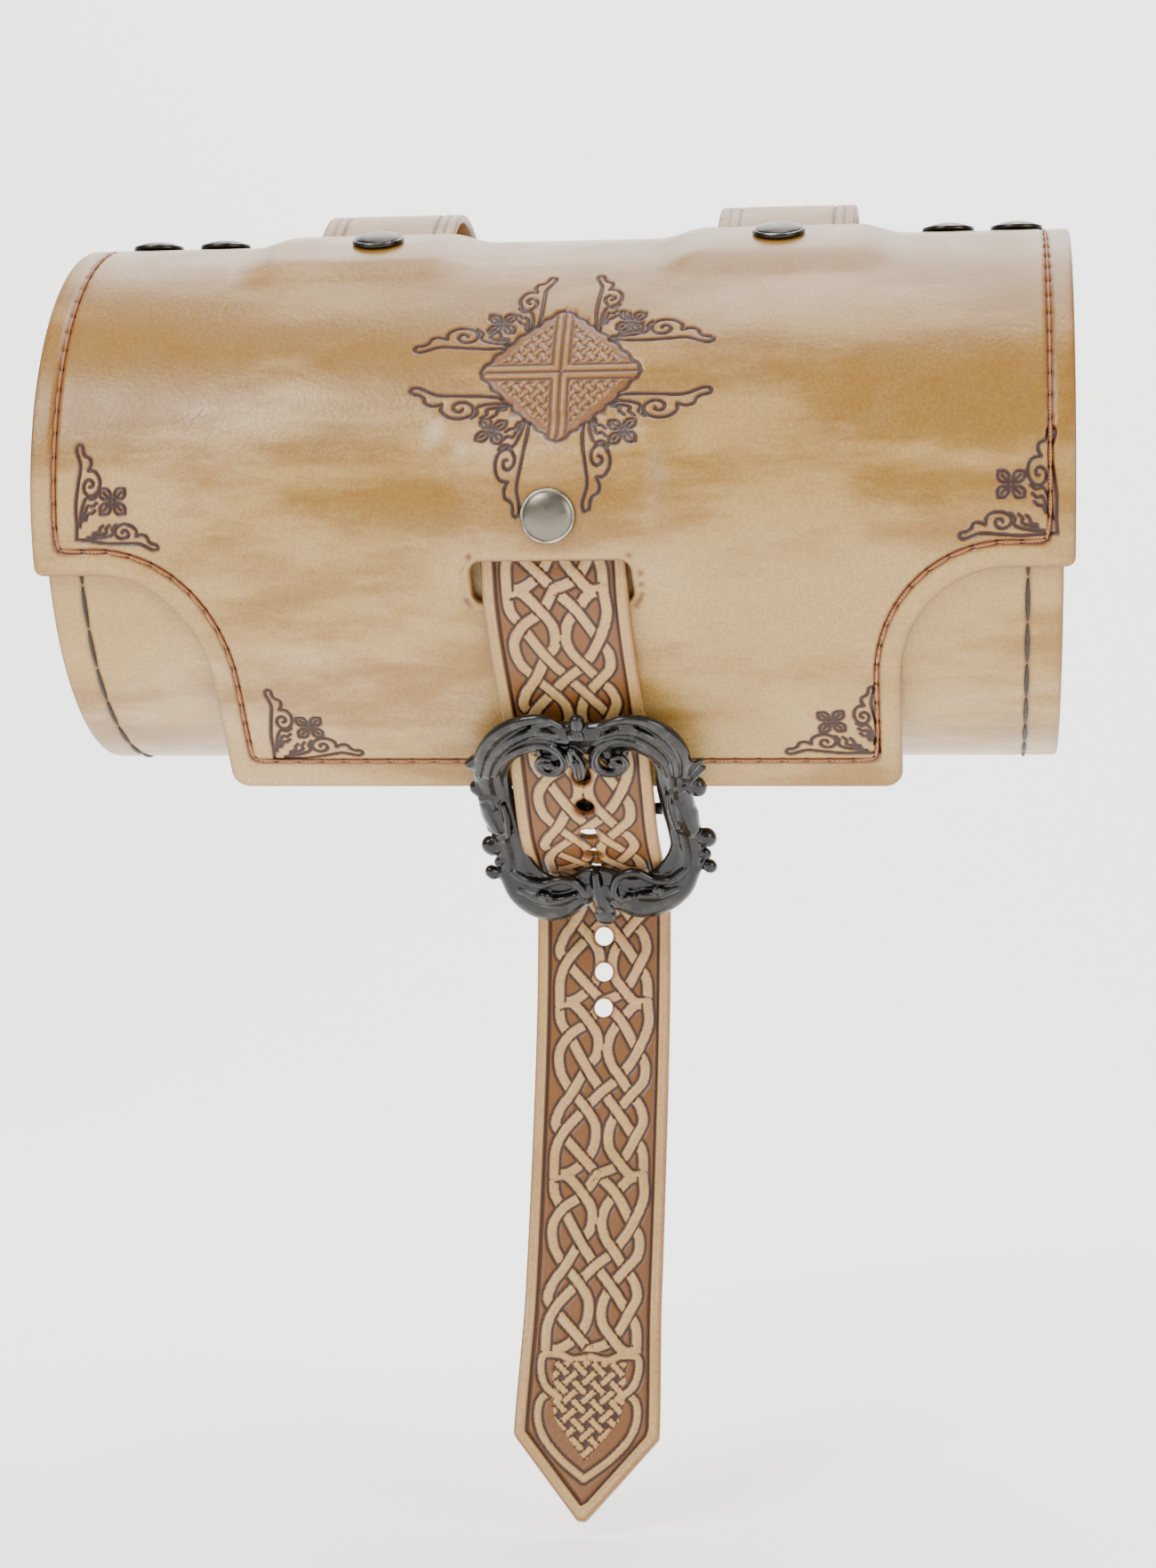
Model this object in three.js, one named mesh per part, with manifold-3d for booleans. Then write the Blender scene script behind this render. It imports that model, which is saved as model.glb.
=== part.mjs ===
import * as THREE from "three";
import { mergeVertices } from "three/addons/utils/BufferGeometryUtils.js";
import Module from "manifold-3d";

// A belt pouch of thick natural leather: a rolled barrel body with a wrapped flap, two belt loops
// and a tooled strap that closes the flap through an ornate cast buckle.
// Millimetres, +Z up, +X to the wearer's left as seen from the front, the front faces -Y.
// Sections are worked out round the barrel's axis. Angles are in degrees, measured from the
// barrel's top: positive to the front and down, negative to the back.
// The finished part's origin is the belt's line, between the barrel and the two loops.

// Clearance between neighbouring pieces
const GAP = 0.3;

// Barrel body
const TUBE_RADIUS = 74;
const TUBE_LENGTH = 280;
const TUBE_WALL = 2.8;
const MOUTH_REAR_ANGLE = 36;
const MOUTH_FRONT_ANGLE = 75;

// Round ends, set into the barrel with the flange turned outward
const CAP_WALL = 2.5;
const CAP_RECESS = 21;
const CAP_SETBACK = 1;
const CAP_FOLD_RADIUS = 3;

// Flap
const FLAP_WALL = 3;
const FLAP_OVERHANG = 3;
const FLAP_REAR_ANGLE = -14;
const FLAP_LEAVE_ANGLE = 130;
const FLAP_SKIRT_LENGTH = 44.1;
const TAB_DROP = 25;
const LOWER_FLAP_WIDTH = 193;
const SCOOP_RADIUS = 29;
const FLAP_CORNER_RADIUS = 5;
const FLAP_LIFT_RAMP = 14;

// Belt loops
const LOOP_WIDTH = 40.5;
const LOOP_WALL = 2.5;
const LOOP_FRONT_ANGLE = 32;
const LOOP_RIVET_ANGLE = 24;
const LOOP_SLOT_FRONT_ANGLE = 6.5;
const LOOP_SLOT_REAR_ANGLE = -2.5;
const LOOP_APEX_RISE = 18;
const LOOP_APEX_BACK = 28.5;
const LOOP_LANDING_ANGLE = -98;
const LOOP_REAR_RIVET_ANGLE = -108;
const LOOP_REAR_END_ANGLE = -117;
const LOOP_SLOT_SIDE = 1.5;
const LOOPS = [
  { side: "left", x: -58, rivetX: -53.6 },
  { side: "right", x: 61.5, rivetX: 61.6 },
];

// Closure strap
const STRAP_WIDTH = 40;
const STRAP_WALL = 3;
const STRAP_SHOULDER_WIDTH = 42;
const STRAP_TIP_LENGTH = 24;
const STRAP_TIP_WIDTH = 2.4;
const STRAP_HIDDEN_END_ANGLE = 87;
const STRAP_SLOT_ANGLE = 106;
const STRAP_SLOT_LENGTH = 12;
const STRAP_SLOT_SIDE = 2;
const STRAP_TOP_X = 2.5;
const STRAP_TAIL_DROP = 165;
const STRAP_SLACK = 0.5;
const STRAP_HOLE_DIAMETER = 5.5;
const STRAP_HOLE_PITCH = 10.7;
const STRAP_HOLE_COUNT = 10;

// Buckle, in its own leaning plane: across, up the plane and out of it
const BUCKLE_X = 6.5;
const BUCKLE_LEAN = 45;
const BUCKLE_BELOW_SKIRT = 10.7;
const BUCKLE_BEHIND_SKIRT = 2.3;
const BUCKLE_SIDE_SPREAD = 27.6;
const BUCKLE_BAR_SPREAD = 31.5;
const BUCKLE_BAR_HALF_WIDTH = 5.4;
const BUCKLE_BAR_HEIGHT = 4;
const BUCKLE_BAR_DEPTH = 3;
const BUCKLE_BOW = 2.5;
const FRAME_CORNER_POWER = 4.2;
const CENTRE_BAR_DIAMETER = 3.6;
const CENTRE_BAR_BEHIND = 6.6;

// Prong
const PRONG_DIAMETER = 2.2;
const PRONG_HOLE_UP = 0.59;

// Hidden leather tab that holds the buckle's centre bar
const CHAPE_WIDTH = 34;
const CHAPE_WALL = 1.8;
const CHAPE_RETURN_LENGTH = 14;
const CHAPE_PULL_ANGLE = 32;
const CHAPE_LANDING_ANGLE = 182;
const CHAPE_RIVET_ANGLE = 190;
const CHAPE_END_ANGLE = 198;
const CHAPE_SLOT_WIDTH = 7;

// Rivets
const RIVET_CAP_DIAMETER = 15;
const RIVET_CAP_HEIGHT = 2.5;
const RIVET_SHANK_DIAMETER = 4;
const RIVET_BACK_DIAMETER = 9;
const RIVET_BACK_HEIGHT = 0.8;
const CHAPE_RIVET_DIAMETER = 10;
const SIDE_RIVET_ANGLE = 4;
const STRAP_RIVET_ANGLE = 97.3;
const SIDE_RIVETS = [
  { name: "rivet_side_left_outer", fromEnd: 14, side: -1 },
  { name: "rivet_side_left_inner", fromEnd: 34.5, side: -1 },
  { name: "rivet_side_right_inner", fromEnd: 31, side: 1 },
  { name: "rivet_side_right_outer", fromEnd: 11.5, side: 1 },
];

// Belt seat: where the belt's middle lies between the barrel and the loops
const BELT_SEAT_ANGLE = -50;
const BELT_SEAT_STANDOFF = 8;

// Steps of the facets, in degrees, sides and millimetres
const ARC_STEP = 7;
const LATHE_SIDES = 11;
const CAP_SIDES = 36;
const FRAME_STEPS = 40;
const STRIP_STEP = 5.5;

const RADIANS = Math.PI / 180;

// Radii of the layers, from the barrel outward
const tubeInnerRadius = TUBE_RADIUS - TUBE_WALL;
const flapInnerRadius = TUBE_RADIUS + GAP;
const flapOuterRadius = flapInnerRadius + FLAP_WALL;
const loopMidRadius = TUBE_RADIUS + GAP + LOOP_WALL / 2;
const strapOverFlapRadius = flapOuterRadius + GAP + STRAP_WALL / 2;
const strapUnderFlapRadius = TUBE_RADIUS + GAP + RIVET_BACK_HEIGHT + GAP + STRAP_WALL / 2;
const flapHalfWidth = TUBE_LENGTH / 2 + FLAP_OVERHANG;

// A point of the barrel's cross-section at a radius and an angle from the top
function onBarrel(radius, degrees) {
  const angle = degrees * RADIANS;
  return new THREE.Vector2(-radius * Math.sin(angle), radius * Math.cos(angle));
}

// The direction along the barrel's surface, towards larger angles
function alongBarrel(degrees) {
  const angle = degrees * RADIANS;
  return new THREE.Vector2(-Math.cos(angle), -Math.sin(angle));
}

// How many degrees a length takes on the barrel's surface
function degreesFor(length) {
  return length / (TUBE_RADIUS * RADIANS);
}

function smoothStep(value) {
  const t = Math.min(Math.max(value, 0), 1);
  return t * t * (3 - 2 * t);
}

// Closed mesh tools

function signedVolume(positions, index) {
  let volume = 0;
  const a = new THREE.Vector3();
  const b = new THREE.Vector3();
  const c = new THREE.Vector3();
  for (let i = 0; i < index.length; i += 3) {
    a.fromArray(positions, index[i] * 3);
    b.fromArray(positions, index[i + 1] * 3);
    c.fromArray(positions, index[i + 2] * 3);
    volume += a.dot(b.cross(c)) / 6;
  }
  return volume;
}

// Merges shared vertices, drops triangles that have shrunk to a line, turns the faces outward
function closeUp(geometry) {
  const bare = geometry.clone();
  bare.deleteAttribute("normal");
  bare.deleteAttribute("uv");
  const merged = mergeVertices(bare, 1e-4);
  const old = merged.index.array;
  let index = [];
  for (let i = 0; i < old.length; i += 3) {
    const [a, b, c] = [old[i], old[i + 1], old[i + 2]];
    if (a !== b && b !== c && c !== a) index.push(a, b, c);
  }
  if (signedVolume(merged.attributes.position.array, index) < 0) index = index.reverse();
  merged.setIndex(index);
  return merged;
}

const wasm = await Module();
wasm.setup();

function toSolid(geometry) {
  const closed = closeUp(geometry);
  return new wasm.Manifold(
    new wasm.Mesh({
      numProp: 3,
      vertProperties: new Float32Array(closed.attributes.position.array),
      triVerts: new Uint32Array(closed.index.array),
    }),
  );
}

function toGeometry(solid) {
  const mesh = solid.getMesh();
  const geometry = new THREE.BufferGeometry();
  geometry.setAttribute("position", new THREE.BufferAttribute(new Float32Array(mesh.vertProperties), 3));
  geometry.setIndex(Array.from(mesh.triVerts));
  return geometry;
}

function cut(geometry, cutters) {
  let solid = toSolid(geometry);
  for (const cutter of cutters) solid = solid.subtract(toSolid(cutter));
  return toGeometry(solid);
}

function join(geometries) {
  let solid = toSolid(geometries[0]);
  for (const geometry of geometries.slice(1)) solid = solid.add(toSolid(geometry));
  return toGeometry(solid);
}

// A wall between two facing grids of points, closed along its four edges
function wallSolid(rows, columns, frontAt, backAt) {
  const positions = [];
  for (const pointAt of [frontAt, backAt]) {
    for (let i = 0; i < rows; i += 1) {
      for (let j = 0; j < columns; j += 1) positions.push(...pointAt(i, j).toArray());
    }
  }
  const back = rows * columns;
  const at = (i, j) => i * columns + j;
  const index = [];
  const quad = (a, b, c, d) => index.push(a, b, c, a, c, d);
  for (let i = 0; i + 1 < rows; i += 1) {
    for (let j = 0; j + 1 < columns; j += 1) {
      quad(at(i, j), at(i, j + 1), at(i + 1, j + 1), at(i + 1, j));
      quad(back + at(i, j), back + at(i + 1, j), back + at(i + 1, j + 1), back + at(i, j + 1));
    }
  }
  for (let i = 0; i + 1 < rows; i += 1) {
    const last = columns - 1;
    quad(at(i, 0), at(i + 1, 0), back + at(i + 1, 0), back + at(i, 0));
    quad(at(i, last), back + at(i, last), back + at(i + 1, last), at(i + 1, last));
  }
  for (let j = 0; j + 1 < columns; j += 1) {
    const last = rows - 1;
    quad(at(0, j), back + at(0, j), back + at(0, j + 1), at(0, j + 1));
    quad(at(last, j), at(last, j + 1), back + at(last, j + 1), back + at(last, j));
  }
  const geometry = new THREE.BufferGeometry();
  geometry.setAttribute("position", new THREE.Float32BufferAttribute(positions, 3));
  geometry.setIndex(index);
  return closeUp(geometry);
}

// A section carried round a closed path
function ringSolid(steps, sides, pointAt) {
  const positions = [];
  const index = [];
  for (let i = 0; i < steps; i += 1) {
    for (let j = 0; j < sides; j += 1) {
      positions.push(...pointAt(i / steps, j / sides).toArray());
      const a = i * sides + j;
      const b = i * sides + ((j + 1) % sides);
      const c = ((i + 1) % steps) * sides + ((j + 1) % sides);
      const d = ((i + 1) % steps) * sides + j;
      index.push(a, b, c, a, c, d);
    }
  }
  const geometry = new THREE.BufferGeometry();
  geometry.setAttribute("position", new THREE.Float32BufferAttribute(positions, 3));
  geometry.setIndex(index);
  return closeUp(geometry);
}

// A strip of leather along a path in the YZ plane. Each station has a point, its distance along
// the path, a middle x and a width; the wall grows equally to both sides of the path.
function stripSolid(stations, wall) {
  const pointAt = (i, j, offset) => {
    const { point, normal, x, width } = stations[i];
    const across = x + (j - 0.5) * width;
    return new THREE.Vector3(across, point.x + normal.x * offset, point.y + normal.y * offset);
  };
  return wallSolid(
    stations.length,
    2,
    (i, j) => pointAt(i, j, wall / 2),
    (i, j) => pointAt(i, j, -wall / 2),
  );
}

// Even stations along a run of points, with the outward normal to the left of the run
function stationsAlong(points, step) {
  const curve = new THREE.CatmullRomCurve3(
    points.map((point) => new THREE.Vector3(0, point.x, point.y)),
    false,
    "centripetal",
  );
  curve.arcLengthDivisions = 1200;
  const length = curve.getLength();
  const count = Math.ceil(length / step);
  return Array.from({ length: count + 1 }, (_, i) => {
    const point = curve.getPointAt(i / count);
    const tangent = curve.getTangentAt(i / count);
    return {
      distance: (length * i) / count,
      point: new THREE.Vector2(point.y, point.z),
      normal: new THREE.Vector2(tangent.z, -tangent.y),
    };
  });
}

// A block that spans x, an angle range and a radius range, for cutting slots in curved walls
function sectorBlock(x0, x1, degrees0, degrees1, radius0, radius1) {
  const rows = 2 + Math.floor(Math.abs(degrees1 - degrees0) / ARC_STEP);
  const pointAt = (i, j, radius) => {
    const flat = onBarrel(radius, degrees0 + ((degrees1 - degrees0) * i) / (rows - 1));
    return new THREE.Vector3(j === 0 ? x0 : x1, flat.x, flat.y);
  };
  return wallSolid(
    rows,
    2,
    (i, j) => pointAt(i, j, radius1),
    (i, j) => pointAt(i, j, radius0),
  );
}

// A round hole's cutter, across a wall at a point, along a direction in the YZ plane
function holeCutter(diameter, x, point, normal, reach) {
  const geometry = new THREE.CylinderGeometry(diameter / 2, diameter / 2, reach, 10);
  geometry.rotateX(Math.atan2(normal.y, normal.x));
  geometry.translate(x, point.x, point.y);
  return geometry;
}

// Rivet layout: each rivet has its place, the seat of its domed cap and the length it grips

const rivetHoleDiameter = RIVET_SHANK_DIAMETER + 2 * GAP;

// Where a flat back cap lies inside a hollow of flat facets
function insideSeat(radius, facetDegrees) {
  const flat = radius * Math.cos((facetDegrees * RADIANS) / 2);
  return Math.sqrt(flat * flat - (RIVET_BACK_DIAMETER / 2) ** 2) - GAP;
}

const tubeGripRadius = insideSeat(tubeInnerRadius, ARC_STEP);
const capFlangeGripRadius = insideSeat(tubeInnerRadius - GAP - CAP_WALL, 360 / CAP_SIDES);
const loopLift = LOOP_WALL + GAP;
const strapLift = strapUnderFlapRadius + STRAP_WALL / 2 + GAP - flapInnerRadius;

const rivets = [
  ...SIDE_RIVETS.map(({ name, fromEnd, side }) => ({
    name,
    x: side * (TUBE_LENGTH / 2 - fromEnd),
    angle: SIDE_RIVET_ANGLE,
    seat: flapOuterRadius + GAP,
    grip: fromEnd < CAP_RECESS ? capFlangeGripRadius : tubeGripRadius,
    through: ["flap", "tube", "cap"],
  })),
  ...LOOPS.map(({ side, rivetX }) => ({
    name: `rivet_loop_${side}_front`,
    x: rivetX,
    angle: LOOP_RIVET_ANGLE,
    seat: flapOuterRadius + loopLift + GAP,
    grip: tubeGripRadius,
    through: ["flap", "tube", `loop_${side}`],
  })),
  ...LOOPS.map(({ side, x }) => ({
    name: `rivet_loop_${side}_rear`,
    x,
    angle: LOOP_REAR_RIVET_ANGLE,
    seat: TUBE_RADIUS + GAP + LOOP_WALL + GAP,
    grip: tubeGripRadius,
    through: ["tube", `loop_${side}`],
  })),
  {
    name: "rivet_strap",
    x: STRAP_TOP_X,
    angle: STRAP_RIVET_ANGLE,
    seat: flapOuterRadius + strapLift + GAP,
    grip: strapUnderFlapRadius - STRAP_WALL / 2 - GAP,
    through: ["flap", "strap"],
  },
  {
    name: "rivet_chape",
    x: BUCKLE_X,
    angle: CHAPE_RIVET_ANGLE,
    seat: TUBE_RADIUS + 3 * GAP + CHAPE_WALL,
    grip: tubeGripRadius,
    capDiameter: CHAPE_RIVET_DIAMETER,
    through: ["tube", "chape"],
  },
];

function rivetHoles(layer) {
  return rivets
    .filter((rivet) => rivet.through.includes(layer))
    .map(({ x, angle, seat, grip }) => {
      const middle = onBarrel((seat + grip) / 2, angle);
      return holeCutter(rivetHoleDiameter, x, middle, onBarrel(1, angle), seat - grip + 6);
    });
}

// A domed cap, its shank and its flat back cap, turned round the shank
function rivetGeometry({ seat, grip, capDiameter = RIVET_CAP_DIAMETER }) {
  const cap = capDiameter / 2;
  const shank = RIVET_SHANK_DIAMETER / 2;
  const back = RIVET_BACK_DIAMETER / 2;
  const rim = 0.12 * RIVET_CAP_HEIGHT;
  const profile = [
    [0, RIVET_CAP_HEIGHT],
    [0.48 * cap, 0.86 * RIVET_CAP_HEIGHT],
    [0.82 * cap, 0.5 * RIVET_CAP_HEIGHT],
    [cap, rim],
    [cap, 0],
    [shank, 0],
    [shank, grip - seat],
    [back, grip - seat],
    [back, grip - seat - RIVET_BACK_HEIGHT],
    [0, grip - seat - RIVET_BACK_HEIGHT],
  ];
  const points = profile.map(([r, y]) => new THREE.Vector2(r, y)).reverse();
  const geometry = new THREE.LatheGeometry(points, LATHE_SIDES);
  geometry.rotateX(Math.PI / 2);
  return closeUp(geometry);
}

// Barrel body: an open roll, its rear panel and front lip either side of the mouth
function bodyTubeGeometry() {
  const turn = 360 + MOUTH_REAR_ANGLE - MOUTH_FRONT_ANGLE;
  const rows = 1 + Math.ceil(turn / ARC_STEP);
  const pointAt = (i, j, radius) => {
    const flat = onBarrel(radius, MOUTH_FRONT_ANGLE + (turn * i) / (rows - 1));
    return new THREE.Vector3((j - 0.5) * TUBE_LENGTH, flat.x, flat.y);
  };
  const wall = wallSolid(
    rows,
    2,
    (i, j) => pointAt(i, j, TUBE_RADIUS),
    (i, j) => pointAt(i, j, tubeInnerRadius),
  );
  return cut(wall, rivetHoles("tube"));
}

// Round end: a flat disc whose edge turns outward into the sewn flange
function endCapGeometry(side) {
  const outer = tubeInnerRadius - GAP;
  const inner = outer - CAP_WALL;
  const discBack = TUBE_LENGTH / 2 - CAP_RECESS - CAP_WALL;
  const discFront = discBack + CAP_WALL;
  const rim = TUBE_LENGTH / 2 - CAP_SETBACK;
  const half = CAP_FOLD_RADIUS / 2;
  const profile = [
    [0, discBack],
    [outer - CAP_FOLD_RADIUS, discBack],
    [outer - 0.3 * CAP_FOLD_RADIUS, discBack + 0.3 * CAP_FOLD_RADIUS],
    [outer, discBack + CAP_FOLD_RADIUS],
    [outer, rim],
    [inner, rim],
    [inner, discFront + half],
    [inner - half, discFront],
    [0, discFront],
  ];
  const points = profile.map(([r, y]) => new THREE.Vector2(r, y));
  const geometry = new THREE.LatheGeometry(points, CAP_SIDES);
  geometry.rotateZ((-side * Math.PI) / 2);
  return cut(closeUp(geometry), rivetHoles("cap"));
}

// Where the flap is pushed out by a strap that lies between it and the barrel
const flapLifts = [
  ...LOOPS.map(({ x }) => ({
    x,
    halfWidth: LOOP_WIDTH / 2 + LOOP_SLOT_SIDE,
    height: loopLift,
    slotAngle: LOOP_SLOT_FRONT_ANGLE,
    slotEnd: LOOP_SLOT_REAR_ANGLE,
    hiddenEnd: LOOP_FRONT_ANGLE,
  })),
  {
    x: STRAP_TOP_X,
    halfWidth: STRAP_WIDTH / 2 + STRAP_SLOT_SIDE,
    height: strapLift,
    slotAngle: STRAP_SLOT_ANGLE,
    slotEnd: STRAP_SLOT_ANGLE + degreesFor(STRAP_SLOT_LENGTH),
    hiddenEnd: STRAP_HIDDEN_END_ANGLE,
  },
];

function flapLift(x, degrees) {
  let lift = 0;
  for (const { x: middle, halfWidth, height, slotAngle, slotEnd, hiddenEnd } of flapLifts) {
    const across = 1 - smoothStep((Math.abs(x - middle) - halfWidth) / FLAP_LIFT_RAMP);
    const toSlot = Math.sign(slotEnd - slotAngle);
    const pastSlot = ((degrees - slotAngle) * toSlot) / Math.abs(slotEnd - slotAngle);
    const pastEnd = (hiddenEnd - degrees) * toSlot - 1;
    const along = (1 - smoothStep(pastSlot)) * (1 - smoothStep(pastEnd / degreesFor(FLAP_LIFT_RAMP)));
    lift = Math.max(lift, height * across * along);
  }
  return lift;
}

// The sorted values that a grid needs, without near repeats
function gridValues(values, closest) {
  const kept = [];
  for (const value of [...values].sort((a, b) => a - b)) {
    if (kept.length === 0 || value - kept[kept.length - 1] >= closest) kept.push(value);
  }
  return kept;
}

// Half of the outline's lower cut-out, seen from the front: under the tab, round the scoop,
// down the lower part's side and round its bottom corner
function scoopCutter(side) {
  const lowerHalf = LOWER_FLAP_WIDTH / 2;
  const outside = flapHalfWidth + 10;
  const bottom = skirtPoint(flapOuterRadius, FLAP_SKIRT_LENGTH).y - 0.5;
  const scoopEnd = -TAB_DROP - SCOOP_RADIUS;
  const shape = new THREE.Shape();
  shape.moveTo(outside, -TAB_DROP);
  shape.lineTo(lowerHalf + SCOOP_RADIUS, -TAB_DROP);
  shape.absarc(lowerHalf + SCOOP_RADIUS, scoopEnd, SCOOP_RADIUS, Math.PI / 2, Math.PI, false);
  shape.lineTo(lowerHalf, bottom + FLAP_CORNER_RADIUS);
  shape.absarc(
    lowerHalf - FLAP_CORNER_RADIUS,
    bottom + FLAP_CORNER_RADIUS,
    FLAP_CORNER_RADIUS,
    0,
    -Math.PI / 2,
    true,
  );
  shape.lineTo(lowerHalf - FLAP_CORNER_RADIUS, bottom - 10);
  shape.lineTo(outside, bottom - 10);
  shape.closePath();
  const reach = flapOuterRadius + 30;
  const geometry = new THREE.ExtrudeGeometry(shape, { depth: reach, bevelEnabled: false, curveSegments: 8 });
  geometry.rotateX(Math.PI / 2);
  if (side < 0) geometry.scale(-1, 1, 1);
  return closeUp(geometry);
}

// A point of the flap's straight skirt, below the line where it leaves the barrel's curve
function skirtPoint(radius, distance) {
  const start = onBarrel(radius, FLAP_LEAVE_ANGLE);
  return start.addScaledVector(alongBarrel(FLAP_LEAVE_ANGLE), distance);
}

// Flap: from behind the barrel's top over the front, then straight down as a free skirt
function flapGeometry() {
  const ramp = FLAP_LIFT_RAMP;
  const columns = gridValues(
    [
      -flapHalfWidth,
      flapHalfWidth,
      ...flapLifts.flatMap(({ x, halfWidth }) =>
        [-halfWidth - ramp, -halfWidth - ramp / 2, -halfWidth].flatMap((d) => [x + d, x - d]),
      ),
    ],
    1.5,
  );
  const turn = FLAP_LEAVE_ANGLE - FLAP_REAR_ANGLE;
  const arcs = Math.round(turn / ARC_STEP);
  const stations = gridValues(
    [
      ...Array.from({ length: arcs + 1 }, (_, i) => FLAP_REAR_ANGLE + (turn * i) / arcs),
      ...flapLifts.flatMap(({ slotAngle, slotEnd }) => [slotAngle, slotEnd]),
    ],
    1.4,
  );
  const skirt = [0.5, 1];
  const rows = stations.length + skirt.length;
  const pointAt = (i, j, depth) => {
    const x = columns[j];
    if (i < stations.length) {
      const flat = onBarrel(flapInnerRadius + flapLift(x, stations[i]) + depth, stations[i]);
      return new THREE.Vector3(x, flat.x, flat.y);
    }
    const flat = skirtPoint(flapInnerRadius + depth, FLAP_SKIRT_LENGTH * skirt[i - stations.length]);
    return new THREE.Vector3(x, flat.x, flat.y);
  };
  const wall = wallSolid(
    rows,
    columns.length,
    (i, j) => pointAt(i, j, FLAP_WALL),
    (i, j) => pointAt(i, j, 0),
  );
  const slots = flapLifts.map(({ x, halfWidth, slotAngle, slotEnd }) =>
    sectorBlock(x - halfWidth, x + halfWidth, slotAngle, slotEnd, TUBE_RADIUS - 5, flapOuterRadius + 12),
  );
  return cut(wall, [scoopCutter(-1), scoopCutter(1), ...slots, ...rivetHoles("flap")]);
}

// Belt loop: flat on the barrel under the flap, up through the flap's slot in an arch over the
// belt, and down to lie flat on the barrel's back
function loopPath() {
  const liftOff = onBarrel(loopMidRadius, LOOP_SLOT_FRONT_ANGLE);
  const apex = new THREE.Vector2(LOOP_APEX_BACK, TUBE_RADIUS + LOOP_APEX_RISE - LOOP_WALL / 2);
  const landing = onBarrel(loopMidRadius, LOOP_LANDING_ANGLE);
  const riseRun = apex.x - liftOff.x;
  const rise = new THREE.CubicBezierCurve(
    liftOff,
    liftOff.clone().addScaledVector(alongBarrel(LOOP_SLOT_FRONT_ANGLE), -0.33 * riseRun),
    apex.clone().setX(apex.x - 0.56 * riseRun),
    apex,
  );
  const fall = new THREE.CubicBezierCurve(
    apex,
    apex.clone().setX(apex.x + 0.95 * (landing.x - apex.x)),
    landing.clone().addScaledVector(alongBarrel(LOOP_LANDING_ANGLE), 0.44 * (apex.y - landing.y)),
    landing,
  );
  const lying = (from, to, count) =>
    Array.from({ length: count }, (_, i) => onBarrel(loopMidRadius, from + ((to - from) * i) / count));
  return [
    ...lying(LOOP_FRONT_ANGLE, LOOP_SLOT_FRONT_ANGLE, 6),
    ...rise.getPoints(8).slice(0, -1),
    ...fall.getPoints(14).slice(0, -1),
    ...lying(LOOP_LANDING_ANGLE, LOOP_REAR_END_ANGLE, 4),
    onBarrel(loopMidRadius, LOOP_REAR_END_ANGLE),
  ];
}

function beltLoopGeometry({ side, x }) {
  const stations = stationsAlong(loopPath(), STRIP_STEP).map((station) => ({ ...station, x, width: LOOP_WIDTH }));
  return cut(stripSolid(stations, LOOP_WALL), rivetHoles(`loop_${side}`));
}

// The buckle's plane: a point found up the plane and out of it, from the buckle's centre or
// from another point of the plane
const lean = BUCKLE_LEAN * RADIANS;
const skirtEnd = skirtPoint(flapOuterRadius, FLAP_SKIRT_LENGTH);
const buckleCentre = new THREE.Vector2(skirtEnd.x + BUCKLE_BEHIND_SKIRT, skirtEnd.y - BUCKLE_BELOW_SKIRT);

function onBuckle(up, out, origin = buckleCentre) {
  return new THREE.Vector2(
    origin.x - up * Math.sin(lean) - out * Math.cos(lean),
    origin.y + up * Math.cos(lean) - out * Math.sin(lean),
  );
}

// The strap's middle line past the buckle: up the plane as a share of the bars' spread, and out
// of the plane as a share of the strap's depth under the bars
const STRAP_THROUGH_BUCKLE = [
  { up: 0.95, out: -1 },
  { up: 0.76, out: -0.86 },
  { up: 0.6, out: -0.5 },
  { up: 0.38, out: -0.25 },
  { up: 0.13, out: -0.02 },
  { up: -0.1, out: -0.05 },
  { up: -0.32, out: -0.3 },
  { up: -0.55, out: -0.72 },
  { up: -0.8, out: -1.2 },
  { up: -1.05, out: -1.65 },
  { up: -1.25, out: -2.0 },
  { up: -1.42, out: -1.85 },
];
const strapDepthUnderBars = BUCKLE_BAR_DEPTH + 3 * GAP + STRAP_WALL / 2 + STRAP_SLACK;

// The hanging tail: down and back from the barrel's axis, as shares of the tail's drop
const STRAP_TAIL = [
  { down: 0.06, back: 0.068 },
  { down: 0.2, back: 0.05 },
  { down: 0.37, back: 0.006 },
  { down: 0.58, back: -0.062 },
  { down: 0.79, back: -0.148 },
  { down: 0.92, back: -0.208 },
  { down: 1.0, back: -0.25 },
];

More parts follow.
